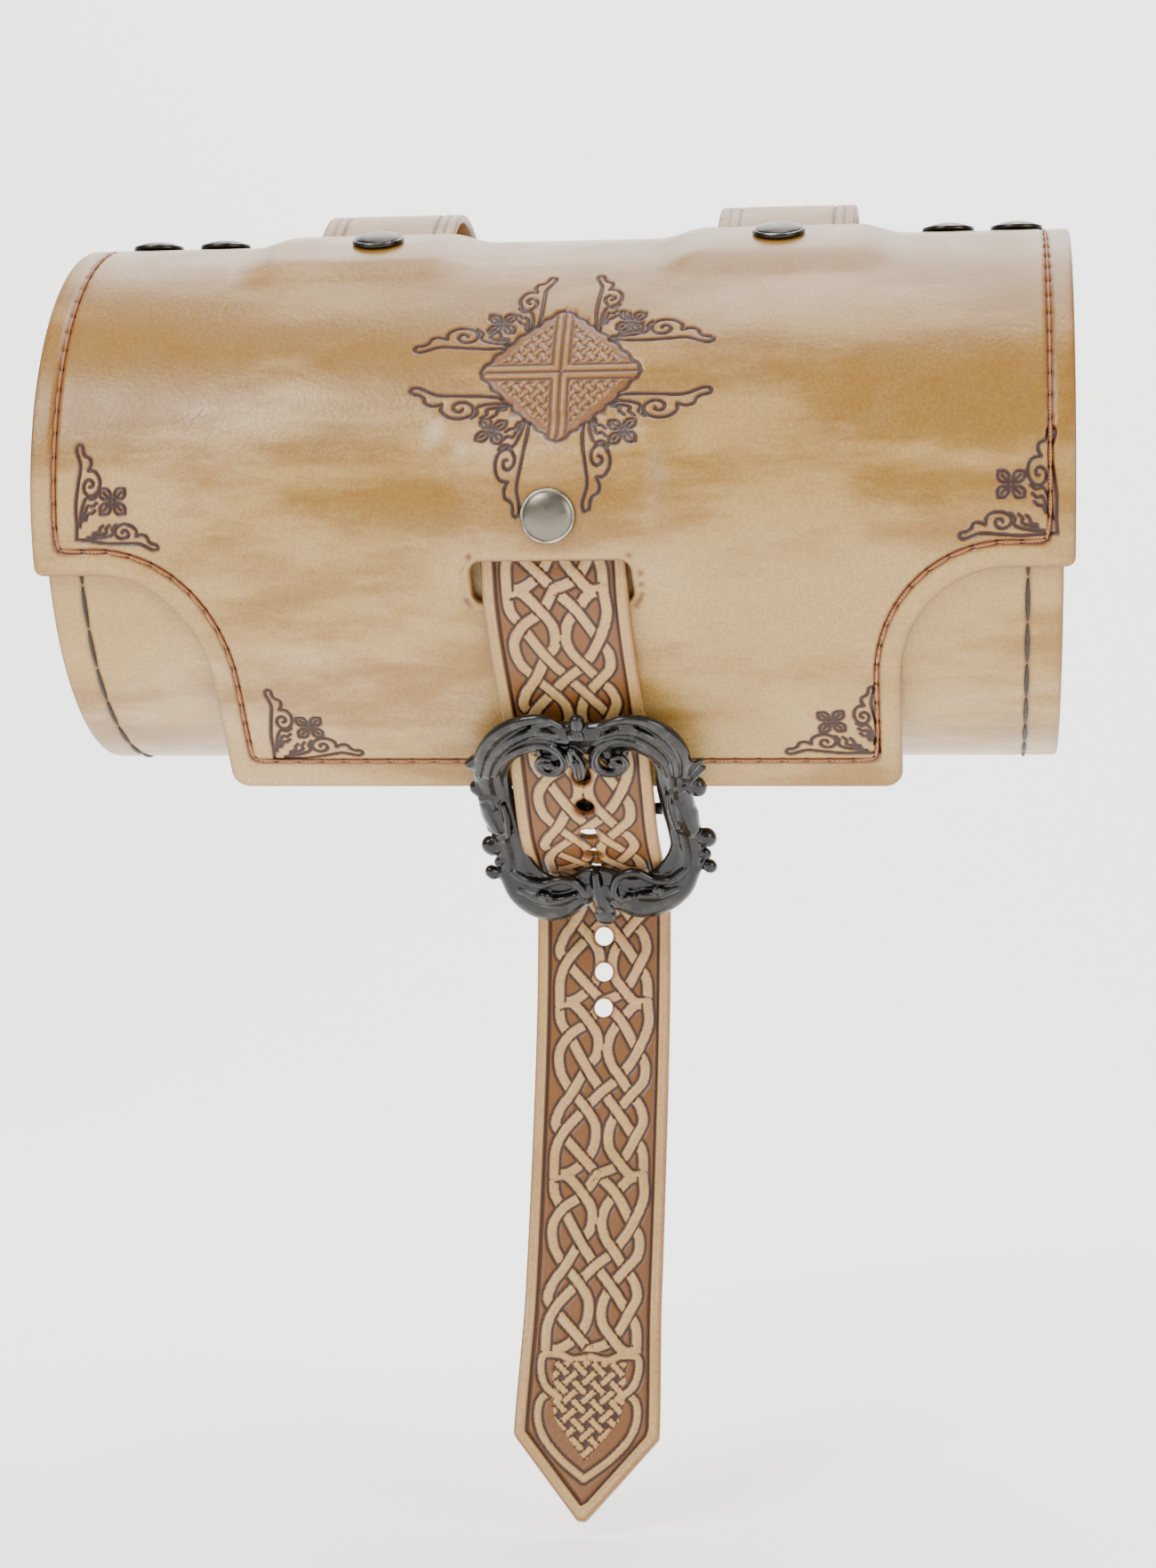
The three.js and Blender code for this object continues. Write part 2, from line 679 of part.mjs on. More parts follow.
// The hidden end under the flap, out through the slot, on the flap, through the buckle, the tail
function strapStations() {
  const slotEnd = STRAP_SLOT_ANGLE + degreesFor(STRAP_SLOT_LENGTH);
  const points = [];
  for (let angle = STRAP_HIDDEN_END_ANGLE + 1; angle < FLAP_LEAVE_ANGLE; angle += 2) {
    const crossed = smoothStep((angle - STRAP_SLOT_ANGLE) / (slotEnd - STRAP_SLOT_ANGLE));
    const radius = strapUnderFlapRadius + (strapOverFlapRadius - strapUnderFlapRadius) * crossed;
    points.push(onBarrel(radius, angle));
  }
  for (const share of [0, 0.12, 0.24, 0.36]) {
    points.push(skirtPoint(strapOverFlapRadius, FLAP_SKIRT_LENGTH * share));
  }
  for (const { up, out } of STRAP_THROUGH_BUCKLE) {
    points.push(onBuckle(up * BUCKLE_BAR_SPREAD, out * strapDepthUnderBars));
  }
  const tailTop = buckleCentre.y - BUCKLE_BAR_SPREAD;
  for (const { down, back } of STRAP_TAIL) {
    points.push(new THREE.Vector2(back * STRAP_TAIL_DROP, tailTop - down * STRAP_TAIL_DROP));
  }
  const stations = stationsAlong(points, STRIP_STEP);
  const length = stations[stations.length - 1].distance;
  const buckleAt = stations.findIndex(({ point }) => point.y < buckleCentre.y);
  return stations.map((station) => {
    const drift = smoothStep(station.distance / stations[buckleAt].distance);
    const fromTip = length - station.distance;
    const flare = smoothStep(1 - (fromTip - STRAP_TIP_LENGTH) / STRAP_SHOULDER_WIDTH);
    const shoulder = STRAP_WIDTH + (STRAP_SHOULDER_WIDTH - STRAP_WIDTH) * flare;
    const taper = Math.min(fromTip / STRAP_TIP_LENGTH, 1);
    return {
      ...station,
      x: STRAP_TOP_X + (BUCKLE_X - STRAP_TOP_X) * drift,
      width: STRAP_TIP_WIDTH + (shoulder - STRAP_TIP_WIDTH) * taper,
    };
  });
}

// The strap with its row of holes, the first of them where the prong comes through
function strapGeometry() {
  const stations = strapStations();
  const prongHole = onBuckle(PRONG_HOLE_UP * BUCKLE_BAR_SPREAD, 0);
  const nearest = stations.reduce((best, station) =>
    station.point.distanceTo(prongHole) < best.point.distanceTo(prongHole) ? station : best,
  );
  const ahead = new THREE.Vector2(-nearest.normal.y, nearest.normal.x);
  const firstHole = nearest.distance + prongHole.sub(nearest.point).dot(ahead);
  const holes = [];
  for (let i = 0; i < STRAP_HOLE_COUNT; i += 1) {
    const distance = firstHole + i * STRAP_HOLE_PITCH;
    const next = stations.findIndex((station) => station.distance > distance);
    const [before, after] = [stations[next - 1], stations[next]];
    const share = (distance - before.distance) / (after.distance - before.distance);
    const point = before.point.clone().lerp(after.point, share);
    const x = before.x + (after.x - before.x) * share;
    holes.push(holeCutter(STRAP_HOLE_DIAMETER, x, point, after.normal, STRAP_WALL + 4));
  }
  return cut(stripSolid(stations, STRAP_WALL), [...holes, ...rivetHoles("strap")]);
}

// Buckle frame: a rounded square ring of cast scrolls, bowed at its sides, with its centre bar
function framePath(turn) {
  const angle = turn * 2 * Math.PI;
  const power = 2 / FRAME_CORNER_POWER;
  const bend = (value) => Math.sign(value) * Math.abs(value) ** power;
  return {
    across: BUCKLE_SIDE_SPREAD * bend(Math.sin(angle)),
    up: BUCKLE_BAR_SPREAD * bend(Math.cos(angle)),
  };
}

// The ring's half width grows at the leaf corners and narrows between them
function frameHalfWidth(turn) {
  const leaf = 0.5 - 0.5 * Math.cos(turn * 8 * Math.PI);
  const scallop = Math.cos(turn * 32 * Math.PI);
  return BUCKLE_BAR_HALF_WIDTH * (0.92 + 0.22 * leaf + 0.07 * scallop);
}

function bow(up) {
  const share = up / BUCKLE_BAR_SPREAD;
  return -BUCKLE_BOW * Math.max(0, 1 - share * share);
}

function frameRing() {
  const section = (round) => {
    const angle = round * 2 * Math.PI;
    const rise = Math.sin(angle);
    const height = rise > 0 ? BUCKLE_BAR_HEIGHT : BUCKLE_BAR_DEPTH;
    return { side: Math.cos(angle), rise: height * Math.sign(rise) * Math.abs(rise) ** 0.7 };
  };
  return ringSolid(FRAME_STEPS, 8, (turn, round) => {
    const middle = framePath(turn);
    const ahead = framePath(turn + 0.002);
    const tangent = new THREE.Vector2(ahead.across - middle.across, ahead.up - middle.up).normalize();
    const { side, rise } = section(round);
    const reach = side * frameHalfWidth(turn);
    const up = middle.up + tangent.x * reach;
    const across = middle.across - tangent.y * reach;
    const flat = onBuckle(up, rise + bow(middle.up));
    return new THREE.Vector3(BUCKLE_X + across, flat.x, flat.y);
  });
}

// Cast relief on the ring: scrolls, leaf lobes and beads, as shares of the ring's half spread
// and of the bar's half width
const FRAME_RELIEF = [
  { across: 0.36, up: 0.84, width: 1.15, length: 1.15, mirrored: true },
  { across: 0.62, up: 1.1, width: 1.5, length: 0.8, mirrored: true },
  { across: 1.0, up: 0.92, width: 1.15, length: 1.2, mirrored: true },
  { across: 1.2, up: 0.5, width: 0.6, length: 0.75, mirrored: true },
  { across: 1.06, up: 0.12, width: 0.95, length: 1.5, mirrored: true },
  { across: 1.19, up: -0.36, width: 0.52, length: 0.5, mirrored: true },
  { across: 1.16, up: -0.62, width: 0.5, length: 0.5, mirrored: true },
  { across: 0.84, up: -0.98, width: 1.3, length: 1.1, mirrored: true },
  { across: 0.36, up: -1.0, width: 1.3, length: 1.15, mirrored: true },
  { across: 0, up: 1.18, width: 0.95, length: 0.6, mirrored: false },
  { across: 0, up: -1.2, width: 0.7, length: 0.7, mirrored: false },
];

function frameRelief() {
  const beads = [];
  for (const { across, up, width, length, mirrored } of FRAME_RELIEF) {
    for (const side of mirrored ? [-1, 1] : [1]) {
      const bead = new THREE.SphereGeometry(1, 7, 5);
      bead.rotateX(Math.PI / 2);
      const half = BUCKLE_BAR_HALF_WIDTH;
      bead.scale(width * half, length * half, 0.65 * BUCKLE_BAR_HEIGHT);
      bead.rotateX(Math.PI / 2 + lean);
      const out = 0.47 * BUCKLE_BAR_HEIGHT + bow(up * BUCKLE_BAR_SPREAD);
      const seat = onBuckle(up * BUCKLE_BAR_SPREAD, out);
      bead.translate(BUCKLE_X + side * across * BUCKLE_SIDE_SPREAD, seat.x, seat.y);
      beads.push(bead);
    }
  }
  return beads;
}

function centreBar() {
  const length = 2 * BUCKLE_SIDE_SPREAD;
  const bar = new THREE.CylinderGeometry(CENTRE_BAR_DIAMETER / 2, CENTRE_BAR_DIAMETER / 2, length, 10);
  bar.rotateZ(Math.PI / 2);
  const seat = onBuckle(0, -CENTRE_BAR_BEHIND);
  bar.translate(BUCKLE_X, seat.x, seat.y);
  return bar;
}

// The lugs that carry the centre bar behind the ring's sides
function barLug(side) {
  const width = 1.1 * BUCKLE_BAR_HALF_WIDTH;
  const depth = CENTRE_BAR_BEHIND + CENTRE_BAR_DIAMETER / 2 + 0.6;
  const lug = new THREE.BoxGeometry(width, 2.4 * CENTRE_BAR_DIAMETER, depth);
  lug.translate(0, 0, -depth / 2);
  lug.rotateX(Math.PI / 2 + lean);
  const seat = onBuckle(0, 0);
  lug.translate(BUCKLE_X + side * BUCKLE_SIDE_SPREAD, seat.x, seat.y);
  return lug;
}

function buckleFrameGeometry() {
  return join([frameRing(), ...frameRelief(), barLug(-1), barLug(1), centreBar()]);
}

// Prong: a ring round the centre bar, an arm behind the strap, through its hole and over the
// top bar. Up the buckle's plane and out of it, as shares of the bars' spread and the bar's height
const PRONG_ARM = [
  { up: 0.1, out: -1.42 },
  { up: 0.3, out: -1.17 },
  { up: 0.46, out: -1.19 },
  { up: 0.54, out: -1.16 },
  { up: 0.61, out: -0.62 },
  { up: 0.68, out: 0.3 },
  { up: 0.77, out: 1.22 },
  { up: 0.88, out: 1.46 },
  { up: 1.02, out: 1.46 },
];

function buckleProngGeometry() {
  const radius = PRONG_DIAMETER / 2;
  const ringMiddle = CENTRE_BAR_DIAMETER / 2 + GAP + radius;
  const centre = onBuckle(0, -CENTRE_BAR_BEHIND);
  const ring = ringSolid(12, 6, (turn, round) => {
    const reach = ringMiddle + radius * Math.cos(round * 2 * Math.PI);
    const angle = turn * 2 * Math.PI;
    const flat = onBuckle(reach * Math.cos(angle), reach * Math.sin(angle), centre);
    return new THREE.Vector3(BUCKLE_X + radius * Math.sin(round * 2 * Math.PI), flat.x, flat.y);
  });
  const points = PRONG_ARM.map(({ up, out }) => {
    const flat = onBuckle(up * BUCKLE_BAR_SPREAD, out * BUCKLE_BAR_HEIGHT);
    return new THREE.Vector3(BUCKLE_X, flat.x, flat.y);
  });
  const section = new THREE.Shape();
  section.absarc(0, 0, radius, 0, 2 * Math.PI);
  const arm = new THREE.ExtrudeGeometry(section, {
    steps: 18,
    curveSegments: 3,
    extrudePath: new THREE.CatmullRomCurve3(points, false, "centripetal"),
  });
  return join([ring, arm]);
}

// Chape: a leather tab folded round the centre bar and riveted under the barrel
function chapeGeometry() {
  const pull = CHAPE_PULL_ANGLE * RADIANS;
  const along = new THREE.Vector2(Math.cos(pull), Math.sin(pull));
  const above = new THREE.Vector2(-Math.sin(pull), Math.cos(pull));
  const bar = onBuckle(0, -CENTRE_BAR_BEHIND);
  const wrap = CENTRE_BAR_DIAMETER / 2 + GAP + CHAPE_WALL / 2;
  const at = (forward, up) => bar.clone().addScaledVector(along, forward).addScaledVector(above, up);
  const points = [at(CHAPE_RETURN_LENGTH, wrap), at(CHAPE_RETURN_LENGTH / 2, wrap)];
  const turns = 10;
  for (let i = 0; i <= turns; i += 1) {
    const angle = Math.PI / 2 + (Math.PI * i) / turns;
    points.push(at(wrap * Math.cos(angle), wrap * Math.sin(angle)));
  }
  points.push(at(0.45 * CHAPE_RETURN_LENGTH, -wrap), at(0.9 * CHAPE_RETURN_LENGTH, -wrap));
  const lying = TUBE_RADIUS + 2 * GAP + CHAPE_WALL / 2;
  for (let angle = CHAPE_LANDING_ANGLE; angle <= CHAPE_END_ANGLE; angle += 4) {
    points.push(onBarrel(lying, angle));
  }
  const stations = stationsAlong(points, 2.2).map((station) => ({
    ...station,
    x: BUCKLE_X,
    width: CHAPE_WIDTH,
  }));
  const slot = new THREE.BoxGeometry(CHAPE_SLOT_WIDTH, 3.2 * wrap, 4.4 * wrap);
  slot.rotateX(Math.PI / 2 + pull);
  const slotAt = at(-0.6 * wrap, 0);
  slot.translate(BUCKLE_X, slotAt.x, slotAt.y);
  return cut(stripSolid(stations, CHAPE_WALL), [slot, ...rivetHoles("chape")]);
}

// Finishes

function finish(color, roughness, metalness) {
  return new THREE.MeshStandardMaterial({ color, roughness, metalness });
}

const LEATHER = { color: 0xcdb080, roughness: 0.45, metalness: 0 };
const TOOLED = { color: 0xcfa878, roughness: 0.5, metalness: 0 };
const DARK_CAST = { color: 0x24211f, roughness: 0.35, metalness: 0.9 };
const NICKEL = { color: 0x77705f, roughness: 0.35, metalness: 0.9 };

// Assembly: everything round the barrel's axis, moved so that the belt's line is the origin
const pouch = new THREE.Group();

function addPiece(name, geometry, { color, roughness, metalness }) {
  const mesh = new THREE.Mesh(geometry, finish(color, roughness, metalness));
  mesh.name = name;
  pouch.add(mesh);
  return mesh;
}

addPiece("body_tube", bodyTubeGeometry(), LEATHER);
addPiece("end_cap_left", endCapGeometry(-1), LEATHER);
addPiece("end_cap_right", endCapGeometry(1), LEATHER);
addPiece("flap", flapGeometry(), LEATHER);
for (const loop of LOOPS) addPiece(`belt_loop_${loop.side}`, beltLoopGeometry(loop), LEATHER);
addPiece("closure_strap", strapGeometry(), TOOLED);
addPiece("buckle_frame", buckleFrameGeometry(), DARK_CAST);
addPiece("buckle_prong", buckleProngGeometry(), DARK_CAST);
addPiece("buckle_chape", chapeGeometry(), LEATHER);

for (const rivet of rivets) {
  const mesh = addPiece(rivet.name, rivetGeometry(rivet), NICKEL);
  const seat = onBarrel(rivet.seat, rivet.angle);
  mesh.position.set(rivet.x, seat.x, seat.y);
  mesh.rotation.x = rivet.angle * RADIANS;
}

const beltSeat = onBarrel(TUBE_RADIUS + BELT_SEAT_STANDOFF, BELT_SEAT_ANGLE);
pouch.position.set(0, -beltSeat.x, -beltSeat.y);

const part = new THREE.Group();
part.add(pouch);

export default part;
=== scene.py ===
# %% [markdown]
# # A barrel-shaped belt pouch of natural leather
# The pouch is a rolled leather barrel with a wrapped flap, two belt loops and a tooled strap that
# closes through a cast buckle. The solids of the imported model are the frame. Every piece that shows
# is worked out here with numpy, in millimetres round the barrel's axis, and put into the mesh in
# metres. The leather pieces are cut as flat patterns first and wrapped afterwards, as at the bench.

# %% Load the frame
import math

import bmesh
import bpy
import numpy as np
from mathutils.geometry import delaunay_2d_cdt
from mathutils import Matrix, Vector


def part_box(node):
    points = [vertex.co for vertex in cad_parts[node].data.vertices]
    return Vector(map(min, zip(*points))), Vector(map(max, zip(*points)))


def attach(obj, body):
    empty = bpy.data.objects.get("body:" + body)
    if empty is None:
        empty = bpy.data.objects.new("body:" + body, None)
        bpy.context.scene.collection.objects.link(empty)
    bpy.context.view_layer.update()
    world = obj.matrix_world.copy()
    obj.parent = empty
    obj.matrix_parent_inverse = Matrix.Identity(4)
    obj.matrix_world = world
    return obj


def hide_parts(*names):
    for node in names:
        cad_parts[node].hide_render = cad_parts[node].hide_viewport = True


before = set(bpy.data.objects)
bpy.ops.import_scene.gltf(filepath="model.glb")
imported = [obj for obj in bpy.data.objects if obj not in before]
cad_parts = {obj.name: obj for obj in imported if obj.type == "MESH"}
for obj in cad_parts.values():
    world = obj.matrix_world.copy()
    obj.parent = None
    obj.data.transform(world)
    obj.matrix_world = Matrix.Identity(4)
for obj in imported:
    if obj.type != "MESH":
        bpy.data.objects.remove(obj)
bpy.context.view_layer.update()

# %% [markdown]
# ## Sizes that every piece shares
# The belt's line is the origin. It lies 8 mm off the barrel, 50 degrees behind its top, so the
# barrel's axis is found from it. An angle is measured from the top, positive to the front.

# %% Shared sizes and the section's helpers
GAP = 0.3
TUBE_RADIUS = 74.0
TUBE_WALL = 2.8
FLAP_WALL = 3.0
FLAP_HALF = 143.0
FLAP_REAR = -14.0
FLAP_LEAVE = 130.0
FLAP_SKIRT = 44.1
TAB_DROP = 25.0
LOWER_HALF = 96.5
SCOOP = 29.0
LOOP_WALL = 2.5
LOOP_WIDTH = 40.5
LOOP_MIDDLES = {"left": -58.0, "right": 61.5}
STRAP_WIDTH = 40.0
STRAP_WALL = 3.0
STRAP_TOP_X = 2.5
BUCKLE_X = 6.5
FLAP_INNER = TUBE_RADIUS + GAP
FLAP_OUTER = FLAP_INNER + FLAP_WALL
AXIS = np.array([0.0, -82.0 * math.sin(math.radians(50)), -82.0 * math.cos(math.radians(50))])


def on_barrel(radius, degrees):
    """(y, z) at a radius and an angle: y = -radius sin, z = radius cos."""
    angle = np.radians(degrees)
    return np.stack([-radius * np.sin(angle), radius * np.cos(angle)], axis=-1)


def along_barrel(degrees):
    """The direction of growing angle: (-cos, -sin)."""
    angle = np.radians(degrees)
    return np.stack([-np.cos(angle), -np.sin(angle)], axis=-1)


def smooth_step(value):
    """3t2 - 2t3 of the value held between 0 and 1."""
    t = np.clip(value, 0.0, 1.0)
    return t * t * (3.0 - 2.0 * t)


print("barrel axis", AXIS)

# %% [markdown]
# ## Camera
# The pouch is seen level, 7.5 degrees from its right. The camera comes first, because the stamps
# on the flap and the buckle's scrolls are placed by points of the picture, cast onto the leather.

# %% Camera and the ray of a picture point
CAMERA_TURN = math.radians(7.5)
EYE = np.array([113.6, -862.6, -82.5])
FOCAL = 3300.0
PICTURE = (1300.0, 1763.0)

camera_data = bpy.data.cameras.new("camera")
camera_data.sensor_fit = "VERTICAL"
camera_data.sensor_height = 36.0
camera_data.lens = 36.0 * FOCAL / PICTURE[1]
camera_data.clip_end = 20.0
camera = bpy.data.objects.new("camera", camera_data)
camera.location = (EYE + AXIS) / 1000.0
camera.rotation_euler = (math.pi / 2, 0.0, CAMERA_TURN)
bpy.context.scene.collection.objects.link(camera)
bpy.context.scene.camera = camera


def rays(pixels):
    """Directions of picture points: forward + right * dx / focal + up * dy / focal."""
    pixels = np.atleast_2d(np.asarray(pixels, float))
    forward = np.array([-math.sin(CAMERA_TURN), math.cos(CAMERA_TURN), 0.0])
    right = np.array([math.cos(CAMERA_TURN), math.sin(CAMERA_TURN), 0.0])
    across = (pixels[:, 0] - PICTURE[0] / 2) / FOCAL
    up = (PICTURE[1] / 2 - pixels[:, 1]) / FOCAL
    return forward + across[:, None] * right + up[:, None] * np.array([0.0, 0.0, 1.0])


print("lens", camera_data.lens)

# %% [markdown]
# ## Cutting and wrapping leather
# A leather piece could be a subdivided box that is bent by modifiers, but then its tooling would
# need a very fine mesh everywhere. Here a flat outline is filled with points, close together only
# where the leather is tooled, joined into triangles, given its thickness, and bent by a formula.

# %% Curves, distances and the flat pattern
def smooth_run(points, count=16):
    """Catmull-Rom through the points, with knots spaced by the root of each chord."""
    p = np.asarray(points, float)
    p = np.vstack([2 * p[0] - p[1], p, 2 * p[-1] - p[-2]])
    t = np.linspace(0, 1, count, endpoint=False)[:, None]
    runs = []
    for p0, p1, p2, p3 in zip(p, p[1:], p[2:], p[3:]):
        d0, d1, d2 = (max(np.sqrt(np.linalg.norm(b - a)), 1e-4) for a, b in ((p0, p1), (p1, p2), (p2, p3)))
        m1 = d1 * ((p1 - p0) / d0 - (p2 - p0) / (d0 + d1) + (p2 - p1) / d1)
        m2 = d1 * ((p2 - p1) / d1 - (p3 - p1) / (d1 + d2) + (p3 - p2) / d2)
        runs.append((2 * t**3 - 3 * t**2 + 1) * p1 + (t**3 - 2 * t**2 + t) * m1
                    + (3 * t**2 - 2 * t**3) * p2 + (t**3 - t**2) * m2)
    return np.vstack(runs + [p[-2][None]])


def lengths(points):
    """Distance along a run of points."""
    return np.concatenate([[0.0], np.cumsum(np.linalg.norm(np.diff(points, axis=0), axis=1))])


def even(points, step, closed=False):
    """The run cut into equal steps."""
    points = np.vstack([points, points[:1]]) if closed else np.asarray(points)
    run = lengths(points)
    count = max(int(round(run[-1] / step)), 2)
    at = np.linspace(0, run[-1], count + 1)
    cut = np.stack([np.interp(at, run, points[:, k]) for k in range(points.shape[1])], axis=1)
    return cut[:-1] if closed else cut


def lean(loop):
    """The closed loop without the points that lie on a straight run."""
    before, after = loop - np.roll(loop, 1, axis=0), np.roll(loop, -1, axis=0) - loop
    bend = np.abs(before[:, 0] * after[:, 1] - before[:, 1] * after[:, 0])
    kept = loop[bend > 2e-4 * np.linalg.norm(before, axis=1) * np.linalg.norm(after, axis=1)]
    return np.vstack([kept, kept[:1]])


def nearest(points, strokes):
    """Distance to the nearest stroke: per segment, |p - a - t(b - a)| with t held in 0 to 1."""
    a = np.vstack([stroke[:-1] for stroke in strokes])
    b = np.vstack([stroke[1:] for stroke in strokes])
    ab = b - a
    size = np.maximum((ab**2).sum(1), 1e-9)
    best = np.empty(len(points))
    for start in range(0, len(points), 3000):
        p = points[start:start + 3000, None, :]
        t = np.clip(((p - a) * ab).sum(2) / size, 0, 1)
        best[start:start + 3000] = np.sqrt((((p - a - t[..., None] * ab)) ** 2).sum(2).min(1))
    return best


def inside(points, loop):
    """Even-odd test of points against a closed loop, all edges at once."""
    a, b = loop, np.roll(loop, -1, axis=0)
    odd = np.zeros(len(points), int)
    for start in range(0, len(points), 5000):
        x, y = points[start:start + 5000, 0:1], points[start:start + 5000, 1:2]
        spans = (a[:, 1] > y) != (b[:, 1] > y)
        rise = np.where(b[:, 1] == a[:, 1], 1e-9, b[:, 1] - a[:, 1])
        odd[start:start + 5000] = (spans & (x < (b[:, 0] - a[:, 0]) * (y - a[:, 1]) / rise + a[:, 0])).sum(1)
    return odd % 2 == 1


def rounded_box(x0, x1, y0, y1, radius, step=1.0):
    """A rectangle with round corners, as a closed loop."""
    turns = np.radians(np.linspace(0, 90, 7))
    corners = [(x1 - radius, y1 - radius, 0), (x0 + radius, y1 - radius, 90),
               (x0 + radius, y0 + radius, 180), (x1 - radius, y0 + radius, 270)]
    loop = [np.stack([cx + radius * np.cos(turns + math.radians(turn)),
                      cy + radius * np.sin(turns + math.radians(turn))], axis=1) for cx, cy, turn in corners]
    return even(np.vstack(loop), step, closed=True)


def circle(x, y, radius, sides=28):
    """A round hole's loop."""
    turn = np.linspace(0, 2 * np.pi, sides, endpoint=False)
    return np.stack([x + radius * np.cos(turn), y + radius * np.sin(turn)], axis=1)


def lattice(low, high, step):
    """Points of a grid whose every second row is moved by half a step."""
    rows = np.arange(low[1], high[1], step * 0.88)
    columns = np.arange(low[0], high[0], step)
    x, y = np.meshgrid(columns, rows)
    x = x + (np.arange(len(rows)) % 2)[:, None] * step / 2
    return np.stack([x.ravel(), y.ravel()], axis=1)


def fill(loops, steps, wanted, rings):
    """Points inside the loops at the wanted closeness, then joined by a constrained triangulation."""
    low, high = loops[0].min(0), loops[0].max(0)
    strokes = [lean(loop) for loop in loops]
    outlines = [stroke[:-1] for stroke in strokes]
    parts = []
    for level, step in enumerate(steps):
        points = lattice(low, high, step)
        points = points[wanted(points) == level]
        keep = inside(points, outlines[0])
        for hole in outlines[1:]:
            keep &= ~inside(points, hole)
        points = points[keep]
        parts.append(points[nearest(points, strokes) > max(0.45 * step, 1.15 * max(rings, default=0.3))])
    for loop in loops:
        ahead = np.roll(loop, -1, axis=0) - np.roll(loop, 1, axis=0)
        normal = np.stack([ahead[:, 1], -ahead[:, 0]], axis=1) / np.linalg.norm(ahead, axis=1)[:, None]
        for inset in rings:
            for side in (inset, -inset):
                ring = loop + normal * side
                keep = inside(ring, outlines[0])
                for hole in outlines[1:]:
                    keep &= ~inside(ring, hole)
                ring = ring[keep]
                parts.append(ring[nearest(ring, strokes) > 0.9 * inset])
    border = np.vstack(loops)
    points = np.vstack([border] + parts)
    edges, start = [], 0
    for loop in loops:
        count = len(loop)
        edges += [(start + i, start + (i + 1) % count) for i in range(count)]
        start += count
    found = delaunay_2d_cdt([tuple(p) for p in points], edges, [], 2, 1e-5)
    flat = np.array([tuple(v) for v in found[0]])
    place = {source: i for i, sources in enumerate(found[3]) for source in sources}
    faces = np.array([face for face in found[2] if len(face) == 3])
    middles = flat[faces].mean(axis=1)
    keep = inside(middles, outlines[0])
    for hole in outlines[1:]:
        keep &= ~inside(middles, hole)
    faces = faces[keep]
    return flat, faces, np.array([place[i] for i in range(len(border))]), strokes


def make_piece(name, points, faces, fields=None):
    """Puts arrays into a mesh, in metres round the origin, and turns every face outward."""
    mesh = bpy.data.meshes.new(name)
    mesh.from_pydata((np.asarray(points) + AXIS) / 1000.0, [], faces)
    for field, values in (fields or {}).items():
        mesh.attributes.new(field, "FLOAT", "POINT").data.foreach_set("value", np.asarray(values, np.float32))
    shape = bmesh.new()
    shape.from_mesh(mesh)
    bmesh.ops.remove_doubles(shape, verts=shape.verts, dist=1e-7)
    bmesh.ops.recalc_face_normals(shape, faces=shape.faces)
    shape.to_mesh(mesh)
    shape.free()
    mesh.polygons.foreach_set("use_smooth", np.ones(len(mesh.polygons), bool))
    piece = bpy.data.objects.new(name, mesh)
    bpy.context.scene.collection.objects.link(piece)
    return piece


def leather_piece(name, loops, steps, wanted, wrap, wall, tool, edge_round=0.8):
    """Flat pattern to leather. Depth runs from 0 at the back to the wall at the front; within
    edge_round of a cut edge both sides fall away on a quarter circle."""
    rings = (0.3 * edge_round, edge_round)
    front, front_faces, front_edge, strokes = fill(loops, steps, wanted, rings)
    back, back_faces, back_edge, _ = fill(loops, [3.4], lambda p: np.zeros(len(p)), rings)

    def fall(flat):
        """Distance to the cut edge, and the quarter circle's drop there."""
        away = nearest(flat, strokes)
        left = np.clip(edge_round - away, 0, edge_round)
        return away, edge_round - np.sqrt(np.maximum(edge_round**2 - left**2, 0.0))

    away, drop = fall(front)
    away_back, drop_back = fall(back)
    height, dye = tool(front)
    points = np.vstack([wrap(front, wall - drop + height), wrap(back, drop_back)])
    faces = front_faces.tolist() + (back_faces[:, ::-1] + len(front)).tolist()
    start = 0
    for loop in loops:
        run = np.arange(len(loop)) + start
        a, b = front_edge[run], front_edge[np.roll(run, -1)]
        c, d = back_edge[np.roll(run, -1)] + len(front), back_edge[run] + len(front)
        faces += np.stack([a, d, c, b], axis=1).tolist()
        start += len(loop)
    fields = {"dye": np.concatenate([dye, np.zeros(len(back))]),
              "edge": np.exp(-np.concatenate([away, away_back]) / 1.3)}
    piece = make_piece(name, points, faces, fields)
    print(name, len(piece.data.polygons), "faces")
    return piece


# %% [markdown]
# ## Flap
# The flap is one hide, wrapped from behind the barrel's top over its front and then hanging free.
# Its two lower corners are scooped out and it bulges where a strap lies under it. Its pattern is
# drawn flat: x across, s down the leather, and a formula bends it round the barrel.

# %% The flap's lift over the straps and its wrap
FLAP_LIFTS = [
    {"x": middle, "half": LOOP_WIDTH / 2 + 1.5, "height": LOOP_WALL + GAP, "slot": 6.5, "end": -2.5,
     "hidden": 32.0}
    for middle in LOOP_MIDDLES.values()
] + [{"x": STRAP_TOP_X, "half": STRAP_WIDTH / 2 + 2.0, "height": 4.4, "slot": 106.0,
      "end": 106.0 + math.degrees(12.0 / TUBE_RADIUS), "hidden": 87.0}]
RAMP = 14.0
S_LEAVE = FLAP_OUTER * math.radians(FLAP_LEAVE)
S_END = S_LEAVE + FLAP_SKIRT
S_REAR = FLAP_OUTER * math.radians(FLAP_REAR)


